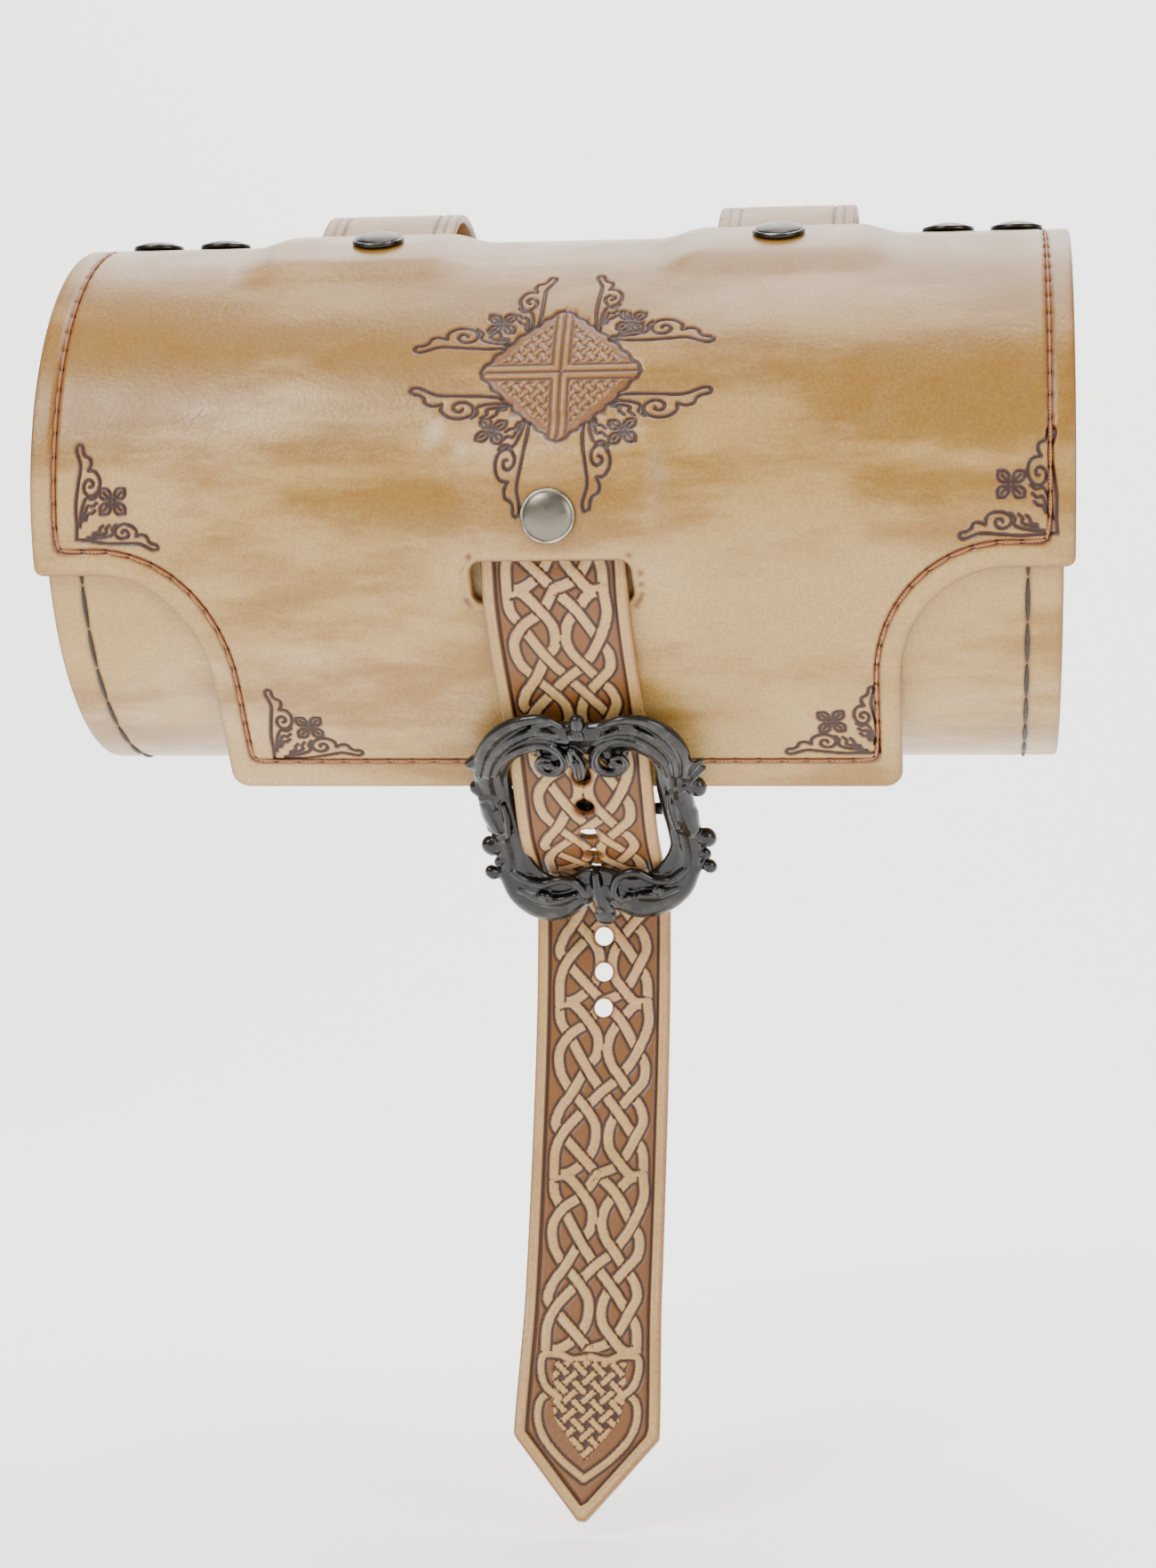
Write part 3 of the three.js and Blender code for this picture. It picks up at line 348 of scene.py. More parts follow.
def flap_lift(x, degrees):
    """Height times a smooth fall across and along, away from each hidden strap."""
    lift = np.zeros(len(x))
    for strap in FLAP_LIFTS:
        across = 1 - smooth_step((np.abs(x - strap["x"]) - strap["half"]) / RAMP)
        turn = np.sign(strap["end"] - strap["slot"])
        past_slot = (degrees - strap["slot"]) * turn / abs(strap["end"] - strap["slot"])
        past_end = ((strap["hidden"] - degrees) * turn - 1) / math.degrees(RAMP / TUBE_RADIUS)
        along = (1 - smooth_step(past_slot)) * (1 - smooth_step(past_end))
        lift = np.maximum(lift, strap["height"] * across * along)
    return lift


def flap_wrap(flat, depth):
    """s on the barrel is an angle at the outer radius, and past the last angle a straight run."""
    x, s = flat[:, 0], flat[:, 1]
    degrees = np.degrees(np.minimum(s, S_LEAVE) / FLAP_OUTER)
    radius = FLAP_INNER + depth + flap_lift(x, degrees)
    bent = on_barrel(radius, degrees) + along_barrel(FLAP_LEAVE) * np.maximum(s - S_LEAVE, 0)[:, None]
    return np.column_stack([x, bent])


def s_of_drop(z):
    """How far down the leather a height is: the arc of acos(z / radius), or along the skirt."""
    z = np.asarray(z, float)
    leave = FLAP_OUTER * math.cos(math.radians(FLAP_LEAVE))
    on_arc = FLAP_OUTER * np.arccos(np.clip(z / FLAP_OUTER, -1, 1))
    on_skirt = S_LEAVE + (z - leave) / along_barrel(FLAP_LEAVE)[1]
    return np.where(z >= leave, on_arc, on_skirt)


def flap_outline(inset=0.0, bottom_inset=0.0):
    """The right half of the cut edge from the rear down to the bottom's middle, moved inward."""
    half, low = FLAP_HALF - inset, LOWER_HALF - inset
    scoop, s_tab = SCOOP + inset, s_of_drop(-TAB_DROP) - inset
    bottom = S_END - bottom_inset
    turn = np.radians(np.linspace(90, 180, 20))
    arc = np.stack([LOWER_HALF + SCOOP + scoop * np.cos(turn),
                    -TAB_DROP - SCOOP + scoop * np.sin(turn)], axis=1)
    arc[:, 1] = s_of_drop(arc[:, 1])
    corner = max(5.0 - inset * 0.4, 2.0)
    lower_turn = np.radians(np.linspace(0, 90, 8))
    foot = np.stack([low - corner + corner * np.cos(lower_turn),
                     bottom - corner + corner * np.sin(lower_turn)], axis=1)
    tab = np.stack([half - 2.5 + 2.5 * np.cos(lower_turn), s_tab - 2.5 + 2.5 * np.sin(lower_turn)], axis=1)
    side = [[half, S_REAR]]
    return np.vstack([side, tab, arc, foot, [[0.0, bottom]]])


half_edge = flap_outline()
flap_edge = even(np.vstack([half_edge, (half_edge * [-1, 1])[::-1][1:]]), 1.1, closed=True)
flap_holes = []
for strap in FLAP_LIFTS:
    ends = sorted(FLAP_OUTER * math.radians(strap[key]) for key in ("slot", "end"))
    flap_holes.append(rounded_box(strap["x"] - strap["half"], strap["x"] + strap["half"], *ends, 3.0))
print("flap from", round(S_REAR), "to", round(S_END), "mm, edge", len(flap_edge), "points")

# %% [markdown]
# ## Stamped ornament
# The flap carries eight filigree corners, one round each side of a knotwork square and one in each
# corner of the leather. They are drawn as strokes of one pattern: a leg with a scalloped edge, a
# curl and leaf strokes, mirrored for the second leg, and a flower of four petals.

# %% Pixel places on the flap and the filigree strokes
def on_flap(pixels):
    """Where rays meet the flap: the nearer root on the barrel's circle, or the skirt's plane."""
    d = rays(pixels)
    flat, eye = d[:, 1:], EYE[1:]
    a, b, c = (flat**2).sum(1), 2 * flat @ eye, eye @ eye - FLAP_OUTER**2
    t = (-b - np.sqrt(np.maximum(b * b - 4 * a * c, 0))) / (2 * a)
    hit = eye + t[:, None] * flat
    degrees = np.degrees(np.arctan2(-hit[:, 0], hit[:, 1]))
    start, normal = on_barrel(FLAP_OUTER, FLAP_LEAVE), on_barrel(1.0, FLAP_LEAVE)
    t_skirt = ((start - eye) @ normal) / (flat @ normal)
    run = (eye + t_skirt[:, None] * flat - start) @ along_barrel(FLAP_LEAVE)
    on_skirt = (degrees > FLAP_LEAVE) | (degrees < -90)
    t = np.where(on_skirt, t_skirt, t)
    s = np.where(on_skirt, S_LEAVE + run, FLAP_OUTER * np.radians(degrees))
    return np.stack([EYE[0] + t * d[:, 0], s], axis=1)


LEG = [
    [(0, 0), (4, 0.1), (9, -0.1), (15, 0.5), (20, 1.0), (24.4, -0.3), (25.6, 0.3), (25.2, 1.3), (23.6, 1.6),
     (22.6, 2.2), (21.8, 3.6), (20.2, 3.9), (18.6, 3.2)],
    [(18.6, 3.2), (18.4, 5.0), (16.6, 6.3), (14.2, 6.4), (12.2, 5.2), (11.9, 3.4), (13.2, 2.2), (15.0, 2.2),
     (16.1, 3.3), (15.6, 4.5), (14.4, 4.5), (14.1, 3.8)],
    [(12.0, 6.0), (10.9, 4.6), (11.2, 3.0), (9.6, 2.0), (6.6, 1.3), (3.4, 1.0)],
    [(9.9, 5.6), (8.9, 4.4), (9.1, 3.3), (7.6, 2.6), (5.0, 1.9)],
    [(7.9, 5.2), (7.0, 4.2), (6.9, 3.3), (5.2, 2.6)],
]
STAMPS = [
    {"corner": (598, 390), "tips": ((466.7, 395), (625.4, 313)), "flower": (564.8, 363.9)},
    {"corner": (670, 381), "tips": ((801, 383), (673.9, 310.6)), "flower": (709.8, 360.3)},
    {"corner": (599, 452), "tips": ((463, 436.6), (585.4, 579.6)), "flower": (553.4, 486.8)},
    {"corner": (657, 447), "tips": ((798.7, 435.4), (658, 573.6)), "flower": (700.5, 486.8)},
    {"corner": (86, 607), "tips": ((87.4, 501), (176.5, 618)), "flower": (126, 564)},
    {"corner": (1189, 600), "tips": ((1185, 480.7), (1079.7, 605)), "flower": (1137, 544)},
    {"corner": (309, 855), "tips": ((298.5, 776.7), (407.6, 848.5)), "flower": (347.9, 818.4)},
    {"corner": (989, 847), "tips": ((981.5, 773.5), (885, 847)), "flower": (935, 812)},
]


def stamp_strokes(stamp):
    """Each leg's strokes scaled to the leg's length and turned to it, bulging to the flower."""
    corner, flower = on_flap(stamp["corner"])[0], on_flap(stamp["flower"])[0]
    strokes, scale = [], 1.0
    for tip in on_flap(stamp["tips"]):
        reach = tip - corner
        scale = np.linalg.norm(reach) / 25.4
        ahead = reach / np.linalg.norm(reach)
        aside = np.array([-ahead[1], ahead[0]])
        aside = aside * np.sign((flower - corner) @ aside)
        for line in LEG:
            local = smooth_run(line, 5) * min(scale, 1.15) * [scale / min(scale, 1.15), 1.0]
            strokes.append(corner + local[:, :1] * ahead + local[:, 1:] * aside)
    bisect = (on_flap(stamp["tips"]).sum(0) / 2 - corner)
    turn = math.atan2(bisect[1], bisect[0])
    size = 4.9
    for petal in range(4):
        angle = turn + petal * math.pi / 2
        ahead = np.array([math.cos(angle), math.sin(angle)])
        aside = np.array([-math.sin(angle), math.cos(angle)])
        for side in (1, -1):
            lens = np.array([(0.9, 0.0), (2.2, 1.25 * side), (3.6, 1.3 * side), (size, 0.0)])
            run = smooth_run(lens, 5)
            strokes.append(flower + run[:, :1] * ahead + run[:, 1:] * aside)
        vein = np.array([(1.6, 0.0), (3.4, 0.0)])
        strokes.append(flower + vein[:, :1] * ahead + vein[:, 1:] * aside)
    strokes.append(flower + np.vstack([circle(0, 0, 0.7, 10), [[0.7, 0.0]]]))
    return strokes


filigree = [stamp_strokes(stamp) for stamp in STAMPS]
print("filigree strokes", sum(len(strokes) for strokes in filigree))

# %% [markdown]
# The knotwork square stands on its corner. Its cross is two light bands with a dark line between,
# and each quarter holds a fine plait. A plait needs no drawn strands: two families of slanting
# bands, the one that is on top changing from crossing to crossing, give the same picture.

# %% Plaits and the square
def plait(p, q, pitch, band):
    """Distance from the nearest visible band's middle: of two slanting families, the upper one
    alternates with the cell number's parity. Returns that distance and the lower family's dip."""
    a, b = (p + q) / pitch, (p - q) / pitch
    da, db = np.abs(a - np.round(a)) * pitch, np.abs(b - np.round(b)) * pitch
    over = (np.round(a) + np.round(b)) % 2 == 0
    upper, lower = np.where(over, da, db), np.where(over, db, da)
    on_upper = upper < band
    near = (upper < band + 0.28 * pitch * 0.5) & ~on_upper
    return np.where(on_upper, upper, np.where(near, band * 2, lower)), on_upper


DIAMOND = {"top": (634, 351), "right": (723, 409), "bottom": (626, 505), "left": (541, 418)}
diamond = {key: on_flap(place)[0] for key, place in DIAMOND.items()}
diamond_middle = (diamond["left"] + diamond["right"] + diamond["top"] + diamond["bottom"]) / 4
diamond_half = np.array([(diamond["right"] - diamond["left"])[0],
                         (diamond["bottom"] - diamond["top"])[1]]) / 2


def diamond_tool(flat):
    """The shares |x| and |y|, added with a power just over one, give the distance from the middle
    of a square on its rounded corner, with a wave on its sides. Inside are the cross and the plait,
    outside nothing. Gives height, dye and inside."""
    d = flat - diamond_middle
    share = np.abs(d / diamond_half)
    total = (share ** 1.12).sum(1) ** (1 / 1.12)
    wave = 0.016 * np.cos((share[:, 0] - share[:, 1]) * 7 * np.pi)
    rim = (total - 1.0 - wave) * diamond_half.min() / math.sqrt(2)
    edge_line = np.exp(-((rim / 0.55) ** 2))
    within = smooth_step(-rim / 0.9)
    cross = np.minimum(np.abs(d[:, 0]), np.abs(d[:, 1]))
    middle_line = np.exp(-((cross / 0.42) ** 2))
    side_line = np.exp(-(((cross - 2.3) / 0.4) ** 2))
    away, _ = plait(d[:, 0], d[:, 1], 3.3, 0.85)
    knots = smooth_step((away - 0.75) / 0.35) * (cross > 2.9) * (rim < -2.2)
    rest = (cross > 2.9) * (rim > -2.2) * 0.35
    line = np.maximum.reduce([middle_line, side_line, 0.8 * knots, rest]) * within
    height = -0.62 * edge_line - 0.42 * line - 0.12 * within
    return height, np.maximum(0.95 * edge_line, within * (0.16 + 0.55 * line)), within


all_strokes = [stroke for strokes in filigree for stroke in strokes]
stamp_boxes = [(np.vstack(strokes).min(0) - 2.0, np.vstack(strokes).max(0) + 2.0) for strokes in filigree]
GROOVE_INSET, GROOVE_BOTTOM = 6.8, 9.6
half_groove = flap_outline(GROOVE_INSET, GROOVE_BOTTOM)
groove = np.vstack([half_groove, (half_groove * [-1, 1])[::-1][1:]])
STITCH = 6.6
groove = even(groove, STITCH / 4)
stitch_holes = even(groove, STITCH)


def near_boxes(flat, boxes):
    """True where a point lies in one of the boxes."""
    found = np.zeros(len(flat), bool)
    for low, high in boxes:
        found |= ((flat > low) & (flat < high)).all(1)
    return found


def filigree_distance(flat):
    """Distance to the stamped strokes, worked out only near them."""
    away = np.full(len(flat), 99.0)
    close = near_boxes(flat, stamp_boxes)
    if close.any():
        away[close] = nearest(flat[close], all_strokes)
    return away


def flap_tool(flat):
    """Depth and dye of stamps, border groove, stitch holes and the rounded lip of each slot."""
    height, dye, within = diamond_tool(flat)
    line = filigree_distance(flat)
    cut = (1 - smooth_step((line - 0.22) / 0.5)) * (1 - within)
    halo = np.exp(-((line / 1.1) ** 2)) * (1 - within)
    height = height - 0.6 * cut + 0.06 * halo
    dye = np.maximum.reduce([dye, cut * 0.96, 0.2 * halo])
    border = nearest(flat, [groove])
    holes = np.full(len(flat), 99.0)
    close = border < 2.5
    pricks = [stitch_holes[i:i + 1].repeat(2, 0) for i in range(len(stitch_holes))]
    holes[close] = nearest(flat[close], pricks)
    channel = np.exp(-((border / 0.95) ** 2))
    height = height - 0.75 * channel - 0.7 * np.exp(-((holes / 0.7) ** 2))
    dye = np.maximum.reduce([dye, 0.62 * channel, np.exp(-((holes / 0.85) ** 2))])
    rim = nearest(flat, [lean(hole) for hole in flap_holes])
    height = height - 0.35 * np.exp(-(((rim - 2.4) / 0.5) ** 2)) + 0.25 * np.exp(-(((rim - 1.2) / 0.7) ** 2))
    return height, np.maximum(dye, 0.4 * np.exp(-(((rim - 2.4) / 0.5) ** 2)))


def flap_wanted(flat):
    """Which spacing a place needs: fine at strokes, then the square, the border, the rest."""
    level = np.zeros(len(flat), int)
    lifted = np.zeros(len(flat), bool)
    for strap in FLAP_LIFTS:
        span = sorted((strap["end"], strap["hidden"]))
        mid = FLAP_OUTER * math.radians(sum(span) / 2)
        reach = FLAP_OUTER * math.radians(span[1] - span[0]) / 2
        across = np.abs(flat[:, 0] - strap["x"]) < strap["half"] + RAMP + 2
        lifted |= across & (np.abs(flat[:, 1] - mid) < reach + RAMP)
    level[lifted] = 1
    level[nearest(flat, [groove[::4]]) < 2.4] = 2
    level[(np.abs((flat - diamond_middle) / diamond_half).sum(1) < 1.12)] = 3
    level[filigree_distance(flat) < 1.3] = 3
    return level


flap = leather_piece("flap_leather", [flap_edge] + flap_holes, [3.4, 1.9, 0.8, 0.42], flap_wanted, flap_wrap,
                     FLAP_WALL, flap_tool)

# %% [markdown]
# ## Barrel, ends, belt loops
# The barrel is one hide, rolled to an open C whose gap is the mouth under the flap. Each round end
# is a dished disc, turned out into the flange that is sewn to the barrel, so it is a profile turned
# round the axis. A belt loop is a strip that follows the same path as its solid.

# %% Barrel
TUBE_INNER = TUBE_RADIUS - TUBE_WALL
SEAM_X = 130.5
TUBE_FROM, TUBE_TO = TUBE_RADIUS * math.radians(75), TUBE_RADIUS * math.radians(396)


def tube_wrap(flat, depth):
    """s is the angle at the barrel's radius, depth is counted from its inside."""
    return np.column_stack([flat[:, 0], on_barrel(TUBE_INNER + depth, np.degrees(flat[:, 1] / TUBE_RADIUS))])


def tube_tool(flat):
    """A shallow channel for the seam near each end."""
    line = np.exp(-(((np.abs(flat[:, 0]) - SEAM_X) / 0.9) ** 2))
    return -0.45 * line, 0.35 * line


tube = leather_piece("barrel_leather", [rounded_box(-140, 140, TUBE_FROM, TUBE_TO, 2.0, 2.0)], [3.4, 0.9],
                     lambda flat: (np.abs(np.abs(flat[:, 0]) - SEAM_X) < 2.2).astype(int),
                     tube_wrap, TUBE_WALL, tube_tool)


# %% Round ends
def turned(name, profile, sides, place, fields=None):
    """Profile (r, h) turned round its axis: (r cos, r sin, h), then placed."""
    turn = np.linspace(0, 2 * np.pi, sides, endpoint=False)
    r, h = np.asarray(profile, float).T
    points = np.stack([np.outer(np.cos(turn), r), np.outer(np.sin(turn), r),
                       np.outer(np.ones(sides), h)], axis=2)
    i, j = np.meshgrid(np.arange(sides), np.arange(len(r) - 1), indexing="ij")
    k = (i + 1) % sides
    faces = np.stack([i * len(r) + j, k * len(r) + j, k * len(r) + j + 1, i * len(r) + j + 1], axis=2)
    faces = faces.reshape(-1, 4)
    fields = {key: np.tile(value, sides) for key, value in (fields or {}).items()}
    return make_piece(name, place(points.reshape(-1, 3)), faces.tolist(), fields)


CAP_PROFILE = [(0, 116.5), (40, 116.5), (66.5, 116.6), (69.6, 117.6), (70.8, 120.5), (70.9, 126),
               (70.9, 138.2),
               (70.2, 139.0), (69.1, 139.0), (68.4, 138.2), (68.4, 130), (68.4, 122.5), (67.8, 120.2),
               (65.5, 119.1),
               (40, 119.0), (0, 119.0)]


def round_end(name, side):
    """The profile smoothed and turned about the barrel's axis, with a slight gather at its fold."""
    profile = even(smooth_run(CAP_PROFILE, 5), 1.6)
    profile[0, 0] = profile[-1, 0] = 0.0

    def place(points):
        """The turned end, sunk in a few soft folds round its rim, laid along the barrel."""
        turn = np.arctan2(points[:, 1], points[:, 0])
        fold = np.exp(-(((points[:, 2] - 128) / 6) ** 2)) * (np.hypot(points[:, 0], points[:, 1]) > 60)
        ease = 1 - 0.0025 * fold * (1 + np.cos(turn * 32))
        return np.column_stack([side * points[:, 2], points[:, 0] * ease, points[:, 1] * ease])

    edge = np.exp(-np.abs(profile[:, 1] - 139.0) / 1.2)
    return turned(name, profile, 128, place, {"edge": edge, "dye": np.zeros(len(profile))})


ends = {side: round_end(f"round_end_{side}", sign) for side, sign in (("left", -1), ("right", 1))}
print("ends", [len(piece.data.polygons) for piece in ends.values()])


# %% Strips that follow a path
def path_wrap(points, wall, outward, middle):
    """Strip to path: the smooth run's point at s, plus its normal times the depth off the middle."""
    run = smooth_run(points)
    at = lengths(run)
    ahead = np.gradient(run, at, axis=0)
    ahead /= np.linalg.norm(ahead, axis=1)[:, None]
    normal = outward * np.stack([ahead[:, 1], -ahead[:, 0]], axis=1)

    def wrap(flat, depth):
        """Strip point and depth to the path's own place."""
        s = flat[:, 1]
        place = np.stack([np.interp(s, at, run[:, k]) for k in (0, 1)], axis=1)
        n = np.stack([np.interp(s, at, normal[:, k]) for k in (0, 1)], axis=1)
        n /= np.linalg.norm(n, axis=1)[:, None]
        return np.column_stack([flat[:, 0] + middle(s), place + n * (depth - wall / 2)[:, None]])

    return wrap, at[-1], run, at


def bezier(a, b, c, d, count):
    """(1-t)3 a + 3(1-t)2t b + 3(1-t)t2 c + t3 d."""
    t = np.linspace(0, 1, count + 1)[:-1, None]
    return (1 - t)**3 * a + 3 * (1 - t)**2 * t * b + 3 * (1 - t) * t**2 * c + t**3 * d


LOOP_MID = TUBE_RADIUS + GAP + LOOP_WALL / 2
lift_off, landing = on_barrel(LOOP_MID, 6.5), on_barrel(LOOP_MID, -98.0)
apex = np.array([28.5, TUBE_RADIUS + 18.0 - LOOP_WALL / 2])
rise_run = apex[0] - lift_off[0]
loop_path = np.vstack([
    on_barrel(LOOP_MID, np.linspace(32.0, 6.5, 7)[:-1]),
    bezier(lift_off, lift_off - along_barrel(6.5) * 0.33 * rise_run,
           np.array([apex[0] - 0.56 * rise_run, apex[1]]), apex, 8),
    bezier(apex, np.array([apex[0] + 0.95 * (landing[0] - apex[0]), apex[1]]),
           landing + along_barrel(-98.0) * 0.44 * (apex[1] - landing[1]), landing, 14),
    on_barrel(LOOP_MID, np.linspace(-98.0, -117.0, 5)),
])


def loop_tool(flat):
    """Two creased lines inside each long edge."""
    across = np.abs(flat[:, 0])
    line = np.exp(-(((across - 13.9) / 0.5) ** 2)) + 0.7 * np.exp(-(((across - 16.9) / 0.4) ** 2))
    return -0.5 * line, np.minimum(0.75 * line, 0.9)


loops = {}
for side, middle_x in LOOP_MIDDLES.items():
    wrap, loop_length, _, _ = path_wrap(loop_path, LOOP_WALL, -1, lambda s, x=middle_x: x)
    outline = rounded_box(-LOOP_WIDTH / 2, LOOP_WIDTH / 2, 0, loop_length, 1.5, 1.4)
    loops[side] = leather_piece(f"belt_loop_leather_{side}", [outline], [2.2, 0.7],
                                lambda flat: (np.abs(np.abs(flat[:, 0]) - 15.4) < 2.6).astype(int),
                                wrap, LOOP_WALL, loop_tool)

# %% [markdown]
# ## Closure strap
# The strap comes out of the flap's slot, runs down through the buckle and curls forward. Its face
# carries a ribbon interlace. A real one is cut and bevelled by hand from a drawing, so each strand
# is a line through named places of one panel, with a mark at each crossing for over or under.

# %% The strap's path
LEAN = math.radians(45.0)
BAR_SPREAD = 31.5
skirt_end = on_barrel(FLAP_OUTER, FLAP_LEAVE) + along_barrel(FLAP_LEAVE) * FLAP_SKIRT
BUCKLE_CENTRE = skirt_end + [2.3, -10.7]


def on_buckle(up, out):
    """(y, z) up the buckle's leaning plane and out of it."""
    up, out = np.asarray(up, float), np.asarray(out, float)
    return np.stack([BUCKLE_CENTRE[0] - up * math.sin(LEAN) - out * math.cos(LEAN),
                     BUCKLE_CENTRE[1] + up * math.cos(LEAN) - out * math.sin(LEAN)], axis=-1)


slot_end = FLAP_LIFTS[2]["end"]
angles = np.arange(88.0, 130.0, 2.0)
crossed = smooth_step((angles - 106.0) / (slot_end - 106.0))
strap_under, strap_over = TUBE_RADIUS + 2.9, FLAP_OUTER + 1.8
radii = strap_under + (strap_over - strap_under) * crossed
through = np.array([(0.95, -1), (0.76, -0.86), (0.6, -0.5), (0.38, -0.25), (0.13, -0.02),
                    (-0.1, -0.05), (-0.32, -0.3),
                    (-0.55, -0.72), (-0.8, -1.2), (-1.05, -1.65), (-1.25, -2.0), (-1.42, -1.85)])
tail = np.array([(0.06, 0.068), (0.2, 0.05), (0.37, 0.006), (0.58, -0.062), (0.79, -0.148),
                 (0.92, -0.208), (1.0, -0.25)])
strap_path = np.vstack([
    np.stack([-radii * np.sin(np.radians(angles)), radii * np.cos(np.radians(angles))], axis=1),
    on_barrel(strap_over, FLAP_LEAVE)
    + along_barrel(FLAP_LEAVE) * FLAP_SKIRT * np.array([[0], [0.12], [0.24], [0.36]]),
    on_buckle(through[:, 0] * BAR_SPREAD, through[:, 1] * 5.9),
    np.stack([tail[:, 1] * 165.0, BUCKLE_CENTRE[1] - BAR_SPREAD - tail[:, 0] * 165.0], axis=1),
])
path_run = smooth_run(strap_path)
path_at = lengths(path_run)
s_buckle = np.interp(-BUCKLE_CENTRE[1], -path_run[:, 1], path_at)


def strap_middle(s):
    """The strap drifts to the buckle's middle by the time it reaches it."""
    return STRAP_TOP_X + (BUCKLE_X - STRAP_TOP_X) * smooth_step(s / s_buckle)


strap_wrap, strap_length, _, _ = path_wrap(strap_path, STRAP_WALL, 1, strap_middle)
depth_along = (path_run[:, 0] - EYE[1]) * math.cos(CAMERA_TURN)
depth_along -= (BUCKLE_X - EYE[0]) * math.sin(CAMERA_TURN)
picture_y = PICTURE[1] / 2 - FOCAL * (path_run[:, 1] - EYE[2]) / depth_along
s_panel, s_end_panel = np.interp([1323.0, 1521.0], picture_y, path_at)
PANEL = s_end_panel - s_panel
hole_place = on_buckle(0.59 * BAR_SPREAD, 0.0)
s_first_hole = path_at[np.linalg.norm(path_run - hole_place, axis=1).argmin()]
print("strap", round(strap_length), "mm, panel", round(float(PANEL), 1), "mm")

# %% Strands of one panel: share across, share down, over 1 or under -1
STRANDS = [
    [(.02, .007, 0), (.15, .0, None), (.345, .105, 1), (.447, .197, None), (.438, .30, None),
     (.335, .375, -1),
     (.188, .518, 1), (.06, .62, None), (.016, .70, None), (.095, .762, -1), (.353, .912, 1), (.49, .99, -1)],
    [(.02, .007, 0), (.035, .10, None), (.134, .19, -1), (.335, .375, 1), (.512, .511, -1), (.685, .628, 1),
     (.884, .781, -1), (.969, .86, None), (.985, .99, 0)],
    [(.49, -.01, 1), (.345, .105, -1), (.134, .19, 1), (.03, .29, None), (.05, .40, None), (.188, .518, -1),
     (.338, .61, 1), (.45, .71, None), (.443, .825, None), (.353, .912, -1), (.17, .985, None),
     (.02, .993, 0)],
    [(.49, -.01, -1), (.70, .10, 1), (.885, .275, -1), (.965, .35, None), (.96, .44, None), (.83, .53, 1),
     (.685, .628, -1), (.60, .73, None), (.60, .82, None), (.73, .925, 1), (.85, .99, None), (.985, .99, 0)],
    [(.985, .007, 0), (.85, .01, None), (.70, .10, -1), (.59, .18, None), (.555, .265, None),
     (.60, .35, None),
     (.70, .425, 1), (.83, .53, -1), (.93, .60, None), (.966, .68, None), (.884, .781, 1),
     (.73, .925, -1), (.49, .99, 1)],
    [(.985, .007, 0), (1.0, .11, None), (.885, .275, 1), (.70, .425, -1), (.512, .511, 1), (.338, .61, -1),
     (.095, .762, 1), (.025, .86, None), (.02, .993, 0)],
]
KNOT_WIDTH = 27.5
RIBBON = 1.5
HEART = [
    ([(0, 1.4), (5, 2.4), (9, 0.9), (13.6, 1.2), (14.2, 5), (12.6, 10), (8.5, 13.4)], 0.3),
    ([(9.0, 11.2), (13.4, 13.6), (14.4, 18.0), (12.8, 24), (7.5, 30.5), (0, 36.5)], -0.3),
]


def strand(points):
    """A smooth line with a level for each of its points, from one marked crossing to the next."""
    places = np.array([(u, v) for u, v, _ in points])
    line = smooth_run(places, 8)
    known = [(i * 8, mark) for i, (_, _, mark) in enumerate(points) if mark is not None]
    level = np.interp(np.arange(len(line)), *zip(*known))
    return line, np.clip(1.5 * level, -1, 1)


def to_strand(points, line, level):
    """Distance to a line and the line's level at the nearest place."""
    a, ab = line[:-1], np.diff(line, axis=0)
    size = np.maximum((ab**2).sum(1), 1e-9)
    away, high = np.empty(len(points)), np.empty(len(points))
    for start in range(0, len(points), 6000):
        p = points[start:start + 6000, None, :]
        t = np.clip(((p - a) * ab).sum(2) / size, 0, 1)
        d = (((p - a - t[..., None] * ab)) ** 2).sum(2)
        pick = d.argmin(1)
        rows = np.arange(len(pick))
        away[start:start + 6000] = np.sqrt(d[rows, pick])
        high[start:start + 6000] = level[pick] + t[rows, pick] * (level[pick + 1] - level[pick])
    return away, high


def interlace(points, strands, half_width, outline=0.5):
    """Of the ribbons that reach a point the one on top shows; outside its half width lies its dark
    outline, and past that the sunk ground. Returns height and dye."""
    found = [to_strand(points, line, level) for line, level in strands]
    away = np.stack([d for d, _ in found])
    level = np.stack([high for _, high in found])
    score = np.where(away < half_width, level + 0.3, np.where(away < half_width + outline, level, -9 - away))
    top = score.argmax(0)
    rows = np.arange(len(points))
    d, high = away[top, rows], level[top, rows]
    ribbon = 1 - smooth_step((d - half_width + 0.25) / 0.35)
    ground = smooth_step((d - half_width - outline + 0.1) / 0.4)
    height = ribbon * (-0.14 * (d / half_width) ** 2 - 0.14 * (1 - high))
    height = height - (1 - ribbon) * (0.78 - 0.26 * ground)
    return height, (1 - ribbon) * (0.92 - 0.44 * ground)


panel_strands = []
for index, points in enumerate(STRANDS):
    line, level = strand(points)
    placed = (line - [0.5, 0]) * [KNOT_WIDTH, PANEL]
    panel_strands.append((placed, level))
    shift = {0: -PANEL, 4: -PANEL, 2: PANEL, 3: PANEL}.get(index)
    if shift is not None:
        panel_strands.append((placed + [0, shift], level))
heart_strands = []
for points, high in HEART:
    line = smooth_run(points, 8)
    for side in (1, -1):
        heart_strands.append((line * [side, 1], np.full(len(line), high)))


# %% Cut and tool the strap
def strap_half(s):
    """Half width: flares to the shoulder before the tip and tapers to it."""
    from_tip = strap_length - s
    shoulder = STRAP_WIDTH + 2.0 * smooth_step(1 - (from_tip - 24.0) / 42.0)
    return (2.4 + (shoulder - 2.4) * np.minimum(from_tip / 24.0, 1.0)) / 2


